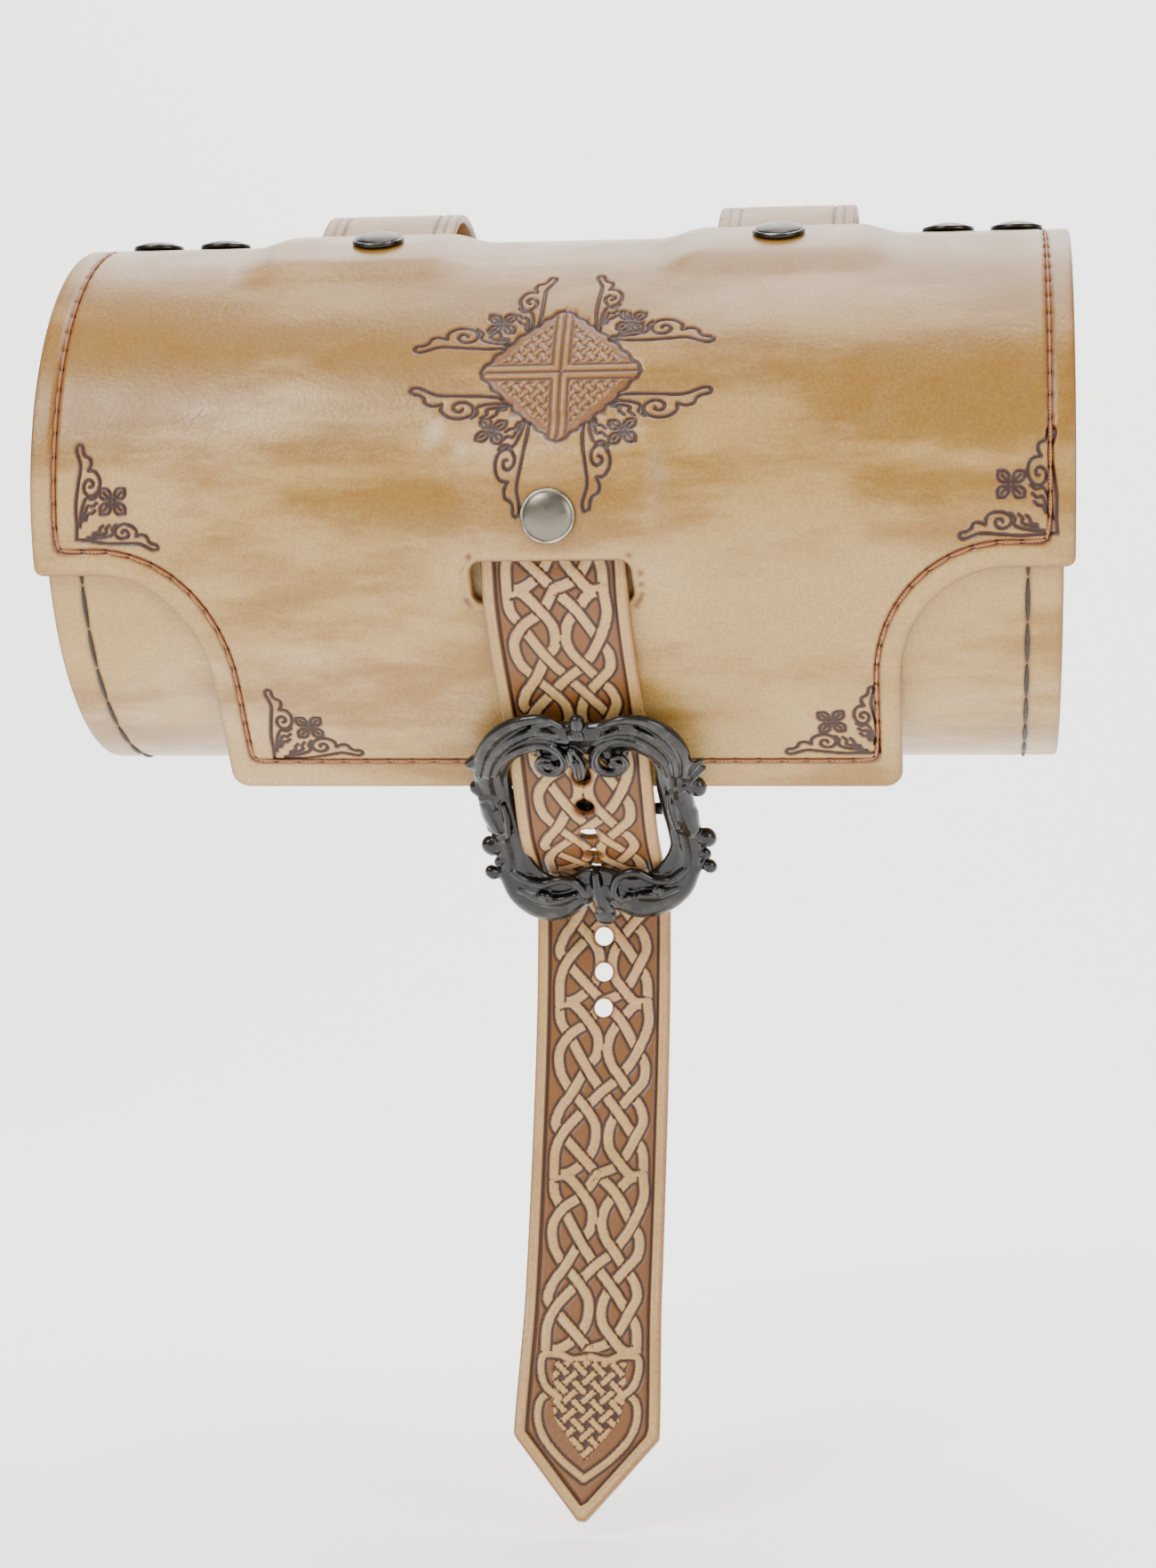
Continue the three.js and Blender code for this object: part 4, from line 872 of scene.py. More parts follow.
s_steps = np.linspace(0, strap_length, 400)
strap_side = np.stack([strap_half(s_steps), s_steps], axis=1)
strap_edge = even(np.vstack([strap_side, (strap_side * [-1, 1])[::-1]]), 1.2, closed=True)
strap_holes = [circle(0, s_first_hole + 10.7 * k, 2.75) for k in range(10)]
strap_tool_edge = np.vstack([strap_side[::4], (strap_side * [-1, 1])[::-1][::4]])


def strap_tool(flat):
    """Panels of interlace between the border grooves, the last one a dense plait in a heart."""
    border = np.minimum(nearest(flat, [strap_tool_edge]), flat[:, 1] + 9)
    height, dye = np.zeros(len(flat)), np.zeros(len(flat))
    panels = (border > 3.6) & (flat[:, 1] < s_end_panel)
    down = (flat[panels, 1] - s_panel) % PANEL
    local = flat[panels] * [1, 0] + np.stack([np.zeros(panels.sum()), down], axis=1)
    height[panels], dye[panels] = interlace(local, panel_strands, RIBBON)
    heart = (border > 3.6) & (flat[:, 1] >= s_end_panel)
    local = flat[heart] - [0, s_end_panel]
    h_frame, d_frame = interlace(local, heart_strands, 1.15)
    away, _ = plait(local[:, 0], local[:, 1] - 2.2, 5.4, 1.2)
    knots = smooth_step((away - 1.05) / 0.4)
    reach = np.minimum(10.6 - 0.25 * np.maximum(0, local[:, 1] - 14), (31.5 - local[:, 1]) * 0.78)
    within = (np.abs(local[:, 0]) < reach) & (local[:, 1] > 2.6)
    clear = (d_frame > 0.4) | (np.abs(local[:, 0]) < 5.5) & (local[:, 1] < 4.5)
    height[heart] = np.where(within & clear, -0.1 - 0.6 * knots, h_frame)
    dye[heart] = np.where(within & clear, 0.75 * knots, d_frame)
    line = np.exp(-(((border - 3.7) / 0.5) ** 2))
    crease = np.exp(-(((border - 2.0) / 0.45) ** 2))
    holes = nearest(flat, [np.vstack([hole, hole[:1]]) for hole in strap_holes])
    rim_mask = np.exp(-((holes / 0.8) ** 2))
    dye = np.maximum.reduce([dye, 0.95 * line, 0.12 * crease, 0.45 * rim_mask])
    return height - 0.75 * line - 0.1 * crease, dye


def strap_wanted(flat):
    """Fine where the strap shows, coarse on its hidden start."""
    return ((flat[:, 1] > 12) & (np.abs(flat[:, 0]) < 18.5)).astype(int)


strap = leather_piece("closure_strap_leather", [strap_edge] + strap_holes, [1.6, 0.44],
                      strap_wanted, strap_wrap,
                      STRAP_WALL, strap_tool, 0.6)

# %% Leather tab behind the buckle
pull = math.radians(32.0)
pull_along = np.array([math.cos(pull), math.sin(pull)])
pull_above = np.array([-math.sin(pull), math.cos(pull)])
bar = on_buckle(0.0, -6.6)
fold = np.pi / 2 + np.pi * np.arange(11) / 10
chape_places = np.vstack([[[14, 3.0], [7, 3.0]], np.stack([3.0 * np.cos(fold), 3.0 * np.sin(fold)], axis=1),
                          [[6.3, -3.0], [12.6, -3.0]]])
chape_path = np.vstack([bar + chape_places[:, :1] * pull_along + chape_places[:, 1:] * pull_above,
                        on_barrel(TUBE_RADIUS + 1.5, np.arange(182.0, 199.0, 4.0))])
chape_wrap, chape_length, _, _ = path_wrap(chape_path, 1.8, 1, lambda s: BUCKLE_X)
chape_edge = rounded_box(-17, 17, 0, chape_length, 1.5)
chape_slit = rounded_box(-3.5, 3.5, 9.2, 28.2, 2.0)
chape = leather_piece("buckle_tab_leather", [chape_edge, chape_slit],
                      [1.6], lambda flat: np.zeros(len(flat), int), chape_wrap, 1.8,
                      lambda flat: (np.zeros(len(flat)), np.zeros(len(flat))), 0.45)

# %% [markdown]
# ## Thread
# The flap's border is sewn with brown thread that lies in its groove, and the ends are sewn in
# with waxed black thread. All stitches of one seam are one mesh, computed as one array: a short
# tube for each pair of neighbouring holes, thick in the middle and diving at both ends.


# %% Stitches
def stitches(name, a, b, wrap, depth, radius, rise, stations=9, sides=6):
    """Centre a + t(b - a), depth + rise sin(pi t); the ring is turned round it and wrapped."""
    t = np.linspace(0, 1, stations)
    turn = np.linspace(0, 2 * np.pi, sides, endpoint=False)
    ahead = (b - a) / np.linalg.norm(b - a, axis=1)[:, None]
    aside = np.stack([-ahead[:, 1], ahead[:, 0]], axis=1)
    size = radius * np.sqrt(np.clip(np.sin(np.pi * (0.06 + 0.88 * t)), 0, 1))
    centre = a[:, None, :] + t[None, :, None] * (b - a)[:, None, :]
    flat = centre[:, :, None, :] + (size[:, None] * np.cos(turn))[None, :, :, None] * aside[:, None, None, :]
    high = depth + rise * np.sin(np.pi * t)[:, None] ** 0.6 + size[:, None] * np.sin(turn)
    high = np.broadcast_to(high, flat.shape[:3])
    points = wrap(flat.reshape(-1, 2), high.reshape(-1))
    i, j, k = np.meshgrid(np.arange(len(a)), np.arange(stations - 1), np.arange(sides), indexing="ij")
    base = i * stations * sides
    n = (k + 1) % sides
    quads = np.stack([base + j * sides + k, base + j * sides + n, base + (j + 1) * sides + n,
                      base + (j + 1) * sides + k],
                     axis=3).reshape(-1, 4)
    starts = (np.arange(len(a)) * stations * sides)[:, None] + np.arange(sides)
    faces = quads.tolist() + starts.tolist() + (starts + (stations - 1) * sides).tolist()
    piece = make_piece(name, points, faces)
    print(name, len(a), "stitches")
    return piece


flap_thread = stitches("flap_thread", stitch_holes[:-1], stitch_holes[1:], flap_wrap,
                       FLAP_WALL - 0.75, 0.5, 0.45)
seam_s = np.arange(TUBE_FROM + 7, TUBE_TO - 7, 13.4)
seam = np.concatenate([np.stack([np.full(len(seam_s), side * SEAM_X), seam_s], axis=1) for side in (-1, 1)])
seam_thread = stitches("seam_thread", seam + [0, 0.5], seam + [0, 12.9], tube_wrap,
                       TUBE_WALL - 0.3, 0.55, 0.35)

# %% [markdown]
# ## Cast buckle
# The buckle is a cast ring of acanthus leaves, volutes and beads. It could be sculpted by hand, but
# here it is built as a caster builds a wax: many tapered rolls, placed by points of the picture in
# the buckle's own plane, are pressed together and remeshed into one skin.

# %% Rolls of wax in the buckle's plane
CROP = np.array([480.0, 602.4])
CROP_SCALE = 3.34
WAX = 9.6


def on_plane(marks, out):
    """Rays of the marked picture points cut with the plane at that height: across and up."""
    pixels = np.asarray(marks, float) / CROP_SCALE + CROP
    d = rays(pixels)
    normal = np.array([0.0, -math.cos(LEAN), -math.sin(LEAN)])
    ahead = np.array([0.0, -math.sin(LEAN), math.cos(LEAN)])
    origin = np.concatenate([[BUCKLE_X], on_buckle(0.0, 0.0)]) + normal * np.reshape(out, (-1, 1))
    t = ((origin - EYE) * normal).sum(1) / (d @ normal)
    hit = EYE + t[:, None] * d
    return np.stack([hit[:, 0] - BUCKLE_X, (hit - origin) @ ahead], axis=1)


def roll(places, out, radii, deep=1.0, sides=12, closed=False):
    """A tube through (across, up, out): the ring is side cos + out sin, its ends rounded off."""
    line = np.column_stack([places, out, radii])
    if closed:
        line = smooth_run(np.vstack([line[-2:], line, line[:3]]), 6)[12:-12]
    else:
        line = smooth_run(line, 6)
    ahead = np.gradient(line[:, :2], axis=0)
    ahead /= np.maximum(np.linalg.norm(ahead, axis=1), 1e-6)[:, None]
    size = line[:, 3].copy()
    centre = line[:, :3]
    if not closed:
        steps = np.array([0.35, 0.8, 0.98])
        head = centre[0] - np.array([*ahead[0], 0]) * size[0] * steps[:, None]
        foot = centre[-1] + np.array([*ahead[-1], 0]) * size[-1] * steps[:, None]
        caps = np.sqrt(1 - steps**2)
        centre = np.vstack([head[::-1], centre, foot])
        ahead = np.vstack([ahead[:1].repeat(3, 0), ahead, ahead[-1:].repeat(3, 0)])
        size = np.concatenate([size[0] * caps[::-1], size, size[-1] * caps])
    aside = np.stack([-ahead[:, 1], ahead[:, 0], np.zeros(len(ahead))], axis=1)
    turn = np.linspace(0, 2 * np.pi, sides, endpoint=False)
    ring = centre[:, None, :] + size[:, None, None] * (aside[:, None, :] * np.cos(turn)[None, :, None]
                                                       + np.array([0, 0, deep]) * np.sin(turn)[None, :, None])
    points = ring.reshape(-1, 3)
    rows = len(centre)
    i, k = np.meshgrid(np.arange(rows if closed else rows - 1), np.arange(sides), indexing="ij")
    n, m = (k + 1) % sides, (i + 1) % rows
    faces = np.stack([i * sides + k, i * sides + n, m * sides + n, m * sides + k], axis=2)
    faces = faces.reshape(-1, 4).tolist()
    if not closed:
        faces += [list(range(sides)), list(range((rows - 1) * sides, rows * sides))]
    return points, faces


RING = [(225, 860), (262, 790), (330, 748), (420, 738), (520, 745), (600, 748), (700, 738), (800, 740),
        (885, 782),
        (930, 860), (940, 960), (960, 1060), (985, 1150), (995, 1225), (955, 1300), (880, 1355),
        (780, 1370), (690, 1345),
        (630, 1335), (560, 1365), (470, 1375), (385, 1340), (320, 1270), (300, 1180), (268, 1080),
        (238, 980), (222, 910)]
# Each roll: picture marks with the roll's radius there, and how far it stands over the ring
ROLLS = [
    (0.5, [(192, 905, 18), (212, 820, 22), (265, 748, 21), (345, 703, 17), (440, 688, 12), (505, 712, 8)]),
    (0.9, [(228, 905, 11), (248, 835, 14), (300, 778, 14), (365, 742, 12), (430, 732, 9), (490, 750, 7)]),
    (1.0, [(255, 905, 8), (282, 850, 11), (335, 805, 12), (395, 782, 11), (455, 785, 11),
           (502, 815, 12), (515, 860, 13),
           (485, 895, 13), (440, 893, 11), (415, 862, 9), (428, 832, 8), (462, 835, 7)]),
    (1.0, [(455, 862, 17), (466, 866, 15)]),
    (-1.4, [(440, 842, 30), (475, 848, 32)]),
    (0.3, [(210, 860, 7), (262, 812, 9), (330, 762, 8), (400, 718, 6), (460, 706, 5)]),
    (0.5, [(960, 905, 18), (958, 825, 22), (905, 752, 21), (825, 703, 17), (735, 690, 12), (650, 712, 8)]),
    (0.9, [(930, 900, 11), (918, 832, 14), (868, 775, 14), (800, 738, 12), (730, 728, 9), (660, 745, 7)]),
    (1.0, [(905, 905, 8), (880, 845, 12), (830, 800, 12), (770, 770, 12), (700, 765, 13),
           (645, 795, 15), (628, 850, 15),
           (660, 893, 15), (718, 893, 13), (748, 858, 11), (730, 825, 9), (695, 832, 8)]),
    (1.0, [(700, 858, 19), (708, 862, 17)]),
    (-1.4, [(680, 840, 32), (715, 842, 30)]),
    (0.3, [(952, 860, 7), (905, 808, 9), (838, 760, 8), (765, 716, 6), (700, 706, 5)]),
    (0.6, [(562, 700, 20), (562, 716, 22)]),
    (1.2, [(545, 745, 15), (575, 748, 14)]),
    (1.8, [(545, 800, 14), (560, 840, 21), (572, 878, 22), (578, 900, 14)]),
    (0.0, [(160, 872, 16), (185, 855, 18), (205, 842, 12)]),
    (0.0, [(184, 975, 22), (194, 985, 20)]),
    (0.6, [(200, 1005, 9), (232, 1000, 12), (252, 1030, 12), (240, 1055, 9)]),
    (0.7, [(222, 1030, 24), (242, 1075, 34), (266, 1125, 26)]),
    (0.9, [(285, 1030, 8), (298, 1085, 9), (306, 1140, 8)]),
    (0.3, [(292, 1148, 15), (282, 1158, 15)]),
    (0.6, [(236, 1192, 28), (244, 1198, 28)]),
    (0.2, [(276, 1238, 15), (268, 1246, 15)]),
    (0.2, [(240, 1282, 20), (248, 1288, 20)]),
    (0.2, [(1030, 848, 9), (1000, 880, 12), (975, 925, 12)]),
    (0.3, [(1038, 880, 9), (1012, 905, 12), (985, 940, 11)]),
    (0.1, [(985, 852, 9), (975, 880, 10)]),
    (0.6, [(1010, 965, 26), (1016, 975, 26)]),
    (1.0, [(952, 965, 10), (975, 950, 9), (990, 972, 8)]),
    (0.8, [(948, 1028, 20), (968, 1078, 36), (992, 1128, 26)]),
    (0.9, [(905, 985, 8), (912, 1040, 9), (935, 1110, 9)]),
    (0.3, [(1046, 1165, 27), (1052, 1170, 27)]),
    (0.2, [(1040, 1216, 17), (1046, 1220, 17)]),
    (0.2, [(1058, 1262, 20), (1064, 1266, 20)]),
    (0.4, [(290, 1285, 20), (345, 1365, 28), (425, 1412, 34), (510, 1415, 34), (580, 1372, 24)]),
    (1.0, [(318, 1268, 9), (375, 1302, 12), (440, 1312, 13), (505, 1300, 13), (560, 1312, 13),
           (598, 1350, 10)]),
    (0.9, [(350, 1330, 11), (420, 1362, 15), (500, 1368, 14), (560, 1350, 9)]),
    (1.2, [(438, 1352, 15), (448, 1354, 15)]),
    (0.4, [(632, 1290, 13), (640, 1340, 16), (650, 1385, 12)]),
    (0.9, [(668, 1430, 30), (674, 1434, 30)]),
    (0.0, [(655, 1360, 26), (668, 1415, 26)]),
    (0.4, [(1005, 1270, 20), (960, 1345, 28), (885, 1392, 33), (800, 1408, 34), (722, 1385, 26)]),
    (1.0, [(970, 1262, 9), (915, 1300, 12), (850, 1300, 13), (780, 1275, 14), (722, 1290, 13),
           (702, 1335, 11),
           (730, 1365, 9), (762, 1352, 8)]),
    (0.9, [(940, 1325, 11), (870, 1350, 14), (800, 1352, 12)]),
    (1.2, [(862, 1330, 14), (872, 1334, 14)]),
]


def bow(up):
    """The sides bow back by 2.5 mm at the middle: -2.5 (1 - (up / half)2)."""
    return -2.5 * np.maximum(0, 1 - (np.asarray(up) / BAR_SPREAD) ** 2)


wax_points, wax_faces = [], []


def add_wax(points, faces):
    """Keeps one roll's arrays, its face numbers moved past the rolls before it."""
    start = sum(len(run) for run in wax_points)
    wax_points.append(points)
    wax_faces.extend([[index + start for index in face] for face in faces])


ring_places = on_plane(RING, np.full(len(RING), 0.5))
add_wax(*roll(ring_places, 0.1 + bow(ring_places[:, 1]), np.full(len(RING), 4.0), 0.68, closed=True))
inner_places = ring_places.mean(0) + (ring_places - ring_places.mean(0)) * (0.90, 0.86)
add_wax(*roll(inner_places, bow(inner_places[:, 1]) - 0.6, np.full(len(RING), 3.6), 0.55, closed=True))
for over, marks in ROLLS:
    marks = np.array(marks, float)
    size = marks[:, 2] / WAX
    places = on_plane(marks[:, :2], np.full(len(marks), 2.0))
    out = 2.7 + over + bow(places[:, 1]) - size * 0.85
    add_wax(*roll(places, out, size))
for side in (-1, 1):
    lug = np.array([[side * 27.6, 2.4], [side * 27.6, -2.4]])
    for out in (-1.5, -3.5, -5.5, -6.6):
        add_wax(*roll(lug, np.full(2, out), np.full(2, 2.2)))
add_wax(*roll(np.array([[-27.6, 0.0], [0.0, 0.0], [27.6, 0.0]]), np.full(3, -6.6), np.full(3, 1.8)))

wax = np.vstack(wax_points)
bent = on_buckle(wax[:, 1], wax[:, 2])
wax_mesh = bpy.data.meshes.new("wax")
wax_mesh.from_pydata(np.column_stack([wax[:, 0] + BUCKLE_X, bent]), [], wax_faces)
wax_body = bpy.data.objects.new("wax", wax_mesh)
bpy.context.scene.collection.objects.link(wax_body)
shape = bmesh.new()
shape.from_mesh(wax_mesh)
bmesh.ops.recalc_face_normals(shape, faces=shape.faces)
shape.to_mesh(wax_mesh)
shape.free()
remesh = wax_body.modifiers.new("remesh", "REMESH")
remesh.mode = "VOXEL"
remesh.voxel_size = 0.4
polish = wax_body.modifiers.new("polish", "SMOOTH")
polish.factor, polish.iterations = 0.5, 2
cast = bpy.data.meshes.new_from_object(wax_body.evaluated_get(bpy.context.evaluated_depsgraph_get()))
bpy.data.objects.remove(wax_body)
count = len(cast.vertices)
places = np.empty(count * 3)
cast.vertices.foreach_get("co", places)
places = places.reshape(-1, 3)
rel = places[:, 1:] - on_buckle(0.0, 0.0)
height = -(rel[:, 0] * math.cos(LEAN) + rel[:, 1] * math.sin(LEAN))
cast.vertices.foreach_set("co", ((places + AXIS) / 1000.0).ravel())
# The raised relief gets a lighter colour: wear on the high points and a painted highlight there.
raised_highlight_and_wear = smooth_step((height - 1.0) / 3.0).astype(np.float32)
cast.attributes.new("edge", "FLOAT", "POINT").data.foreach_set("value", raised_highlight_and_wear)
cast.polygons.foreach_set("use_smooth", np.ones(len(cast.polygons), bool))
buckle = bpy.data.objects.new("buckle_cast", cast)
bpy.context.scene.collection.objects.link(buckle)
print("buckle", len(cast.polygons), "faces, height", round(float(height.min()), 1),
      round(float(height.max()), 1))

# %% Prong: a hook round the bar, then an arm up through the first hole
hook = np.radians(np.linspace(-200, 70, 12))
prong_line = np.vstack([np.stack([3.2 * np.cos(hook), -6.6 - 3.2 * np.sin(hook)], axis=1)[::-1],
                        np.array([(0.1, -1.42), (0.3, -1.17), (0.46, -1.19), (0.54, -1.16),
                                  (0.61, -0.62), (0.68, 0.3),
                                  (0.77, 1.22), (0.88, 1.42), (1.0, 1.42)]) * [BAR_SPREAD, 4.0]])
run = smooth_run(prong_line, 4)
ahead = np.gradient(run, axis=0)
ahead /= np.linalg.norm(ahead, axis=1)[:, None]
turn = np.linspace(0, 2 * np.pi, 12, endpoint=False)
thick = np.full(len(run), 1.1)
thick[[0, -1]] = 0.3
ring_up = run[:, None, 0] - ahead[:, None, 1] * thick[:, None] * np.cos(turn)
ring_out = run[:, None, 1] + ahead[:, None, 0] * thick[:, None] * np.cos(turn)
ring_x = BUCKLE_X + thick[:, None] * np.sin(turn) * np.ones_like(ring_up)
prong_points = np.column_stack([ring_x.ravel(), on_buckle(ring_up.ravel(), ring_out.ravel())])
i, k = np.meshgrid(np.arange(len(run) - 1), np.arange(12), indexing="ij")
i_next, k_next = i + 1, (k + 1) % 12
prong_faces = np.stack([i * 12 + k, i * 12 + k_next, i_next * 12 + k_next, i_next * 12 + k], axis=2)
prong_caps = [list(range(12)), list(range(len(run) * 12 - 12, len(run) * 12))]
prong_faces = prong_faces.reshape(-1, 4).tolist() + prong_caps
prong = make_piece("buckle_prong_rod", prong_points, prong_faces)
print("prong", len(prong.data.polygons), "faces")

# %% [markdown]
# ## Rivets
# Each rivet is a domed cap with a rolled rim, its shank and a flat back cap: one profile turned
# round the shank, then laid on the leather at its angle.

# %% Rivets
ON_TUBE = math.sqrt((TUBE_INNER * math.cos(math.radians(3.5))) ** 2 - 4.5**2) - GAP
ON_FLANGE = math.sqrt(((TUBE_INNER - GAP - 2.5) * math.cos(math.radians(5))) ** 2 - 4.5**2) - GAP
RIVETS = {
    "rivet_side_left_outer": (-126.0, 4.0, FLAP_OUTER + GAP, ON_FLANGE, 7.5),
    "rivet_side_left_inner": (-105.5, 4.0, FLAP_OUTER + GAP, ON_TUBE, 7.5),
    "rivet_side_right_inner": (109.0, 4.0, FLAP_OUTER + GAP, ON_TUBE, 7.5),
    "rivet_side_right_outer": (128.5, 4.0, FLAP_OUTER + GAP, ON_FLANGE, 7.5),
    "rivet_loop_left_front": (-53.6, 24.0, FLAP_OUTER + 3.1, ON_TUBE, 7.5),
    "rivet_loop_right_front": (61.6, 24.0, FLAP_OUTER + 3.1, ON_TUBE, 7.5),
    "rivet_loop_left_rear": (-58.0, -108.0, TUBE_RADIUS + 3.1, ON_TUBE, 7.5),
    "rivet_loop_right_rear": (61.5, -108.0, TUBE_RADIUS + 3.1, ON_TUBE, 7.5),
    "rivet_strap": (2.5, 97.3, FLAP_OUTER + 4.7, TUBE_RADIUS + 1.1, 7.5),
    "rivet_chape": (6.5, 190.0, TUBE_RADIUS + 2.7, ON_TUBE, 5.0),
}


def rivet(name, x, degrees, seat, grip, cap):
    """Cap, shank and back cap as (r, height over the seat), turned and laid along the radius."""
    dome = [(0, 2.5), (0.3, 2.45), (0.55, 2.2), (0.75, 1.75), (0.85, 1.35), (0.885, 1.1), (0.91, 1.2),
            (0.95, 1.28),
            (0.985, 1.05), (1.0, 0.6), (1.0, 0.15), (0.97, 0)]
    low = grip - seat
    profile = smooth_run([(r * cap, h) for r, h in dome], 3).tolist()
    profile += [(2.0, 0), (2.0, low), (4.5, low), (4.5, low - 0.8), (0, low - 0.8)]
    profile[0][0] = 0.0
    radial = on_barrel(1.0, degrees)
    across = along_barrel(degrees)

    def place(points):
        """Rivet axes to the barrel's radius through its seat."""
        flat = points[:, 1:2] * across + (seat + points[:, 2:3]) * radial
        return np.column_stack([x + points[:, 0], flat])

    r = np.array(profile)[:, 0] / cap
    rim = np.where(np.array(profile)[:, 1] > 0, np.exp(-(((r - 0.95) / 0.04) ** 2)), 0)
    return turned(f"{name}_cap", profile, 48, place, {"edge": rim})


rivets = {name: rivet(name, *numbers) for name, numbers in RIVETS.items()}
print("rivets", len(rivets))

# %% [markdown]
# ## Finishes
# Leather colour, grain and edge burnish are shared by the plain and the tooled leather, so they
# are node groups. A group puts out colours, masks and heights only. The Principled shader stays in
# each material, with constants set on its own sockets.


# %% Small helpers for node trees
def add(tree, kind, inputs=None, **settings):
    """One node: settings are its properties, inputs its default values or the sockets to link."""
    node = tree.nodes.new(kind)
    for key, value in settings.items():
        setattr(node, key, value)
    for key, value in (inputs or {}).items():
        if isinstance(value, bpy.types.NodeSocket):
            tree.links.new(value, node.inputs[key])
        else:
            node.inputs[key].default_value = value
    return node


def mixed(tree, factor, a, b, blend="MIX"):
    """Colour mix of two values or sockets."""
    node = tree.nodes.new("ShaderNodeMix")
    node.data_type, node.blend_type = "RGBA", blend
    for socket, value in ((node.inputs[0], factor), (node.inputs[6], a), (node.inputs[7], b)):
        if isinstance(value, bpy.types.NodeSocket):
            tree.links.new(value, socket)
        else:
            socket.default_value = value
    return node.outputs[2]


def reached(tree, value, low, high):
    """Smooth 0 to 1 between two values."""
    node = add(tree, "ShaderNodeMapRange", {0: value, 1: low, 2: high}, interpolation_type="SMOOTHSTEP")
    return node.outputs[0]


def combine(tree, kind, a, b):
    """One arithmetic step on values."""
    return add(tree, "ShaderNodeMath", {0: a, 1: b}, operation=kind).outputs[0]


def group(name, inputs, outputs):
    """An empty node group with named sockets."""
    tree = bpy.data.node_groups.new(name, "ShaderNodeTree")
    for label, kind, value in inputs:
        socket = tree.interface.new_socket(label, in_out="INPUT", socket_type=kind)
        socket.default_value = value
    for label, kind in outputs:
        tree.interface.new_socket(label, in_out="OUTPUT", socket_type=kind)
    return tree, tree.nodes.new("NodeGroupInput"), tree.nodes.new("NodeGroupOutput")


# %% Shared group: hide colour
hide, hide_in, hide_out = group("hide colour", [
    ("Light", "NodeSocketColor", (0.42, 0.26, 0.085, 1)),
    ("Golden", "NodeSocketColor", (0.24, 0.115, 0.012, 1)),
    ("Rosy", "NodeSocketColor", (0.47, 0.31, 0.17, 1)),
    ("Burnish", "NodeSocketColor", (0.15, 0.05, 0.010, 1)),
    ("Dye", "NodeSocketColor", (0.028, 0.008, 0.002, 1)), ("Golden amount", "NodeSocketFloat", 0.5),
], [("Color", "NodeSocketColor"), ("Dyed", "NodeSocketFloat")])
place = add(hide, "ShaderNodeTexCoord").outputs["Object"]
drawn = add(hide, "ShaderNodeMapping", {"Vector": place, "Scale": (10.0, 26.0, 34.0)}).outputs[0]
patches = add(hide, "ShaderNodeTexNoise", {"Vector": drawn, "Scale": 1.0, "Detail": 6.0, "Roughness": 0.62})
clouds = add(hide, "ShaderNodeTexNoise", {"Vector": place, "Scale": 9.0, "Detail": 3.0, "Distortion": 0.6})
speck = add(hide, "ShaderNodeTexNoise", {"Vector": place, "Scale": 1300.0, "Detail": 2.0})
high = reached(hide, add(hide, "ShaderNodeSeparateXYZ", {0: place}).outputs[2], -0.085, 0.0)
golden = combine(hide, "MULTIPLY", combine(hide, "ADD", reached(hide, patches.outputs[0], 0.40, 0.64),
                                           combine(hide, "MULTIPLY", high, 0.75)),
                 hide_in.outputs["Golden amount"])
golden = reached(hide, golden, 0.0, 1.0)
clouded = reached(hide, clouds.outputs[0], 0.42, 0.62)
tone = mixed(hide, clouded, hide_in.outputs["Light"], hide_in.outputs["Rosy"])
tone = mixed(hide, golden, tone, hide_in.outputs["Golden"])
speckled = mixed(hide, reached(hide, speck.outputs[0], 0.38, 0.62), (0.62, 0.58, 0.52, 1),
                 (1.12, 1.12, 1.12, 1))
tone = mixed(hide, 0.35, tone, speckled, "MULTIPLY")
rim_mask = add(hide, "ShaderNodeAttribute", attribute_name="edge").outputs["Fac"]
dyed = add(hide, "ShaderNodeAttribute", attribute_name="dye").outputs["Fac"]
rubbed = combine(hide, "MULTIPLY", reached(hide, rim_mask, 0.25, 1.0), 0.85)
tone = mixed(hide, rubbed, tone, hide_in.outputs["Burnish"])
stain = mixed(hide, reached(hide, dyed, 0.32, 0.8), hide_in.outputs["Burnish"], hide_in.outputs["Dye"])
tone = mixed(hide, reached(hide, dyed, 0.0, 0.42), tone, stain)
hide.links.new(tone, hide_out.inputs["Color"])
hide.links.new(dyed, hide_out.inputs["Dyed"])

# %% Shared group: grain height
grain, grain_in, grain_out = group("leather grain", [
    ("Pebble", "NodeSocketFloat", 0.5), ("Wrinkle", "NodeSocketFloat", 0.5)], [("Height", "NodeSocketFloat")])
place = add(grain, "ShaderNodeTexCoord").outputs["Object"]
cells = add(grain, "ShaderNodeTexVoronoi", {"Vector": place, "Scale": 950.0}, feature="SMOOTH_F1")
pores = add(grain, "ShaderNodeTexNoise", {"Vector": place, "Scale": 520.0, "Detail": 4.0})
stretched = add(grain, "ShaderNodeMapping", {"Vector": place, "Scale": (9.0, 42.0, 42.0)}).outputs[0]
folds = add(grain, "ShaderNodeTexNoise",
            {"Vector": stretched, "Scale": 1.0, "Detail": 3.0, "Distortion": 0.4})
total = combine(grain, "MULTIPLY", cells.outputs["Distance"], grain_in.outputs["Pebble"])
total = combine(grain, "ADD", total, combine(grain, "MULTIPLY", pores.outputs[0], 0.6))
wrinkled = combine(grain, "MULTIPLY", folds.outputs[0], grain_in.outputs["Wrinkle"])
total = combine(grain, "ADD", total, wrinkled)
grain.links.new(total, grain_out.inputs["Height"])


# %% Leather, thread, cast metal, rivet metal
def new_material(name):
    """A material with its Principled shader."""
    material = bpy.data.materials.new(name)
    material.use_nodes = True
    return material, material.node_tree, material.node_tree.nodes["Principled BSDF"]


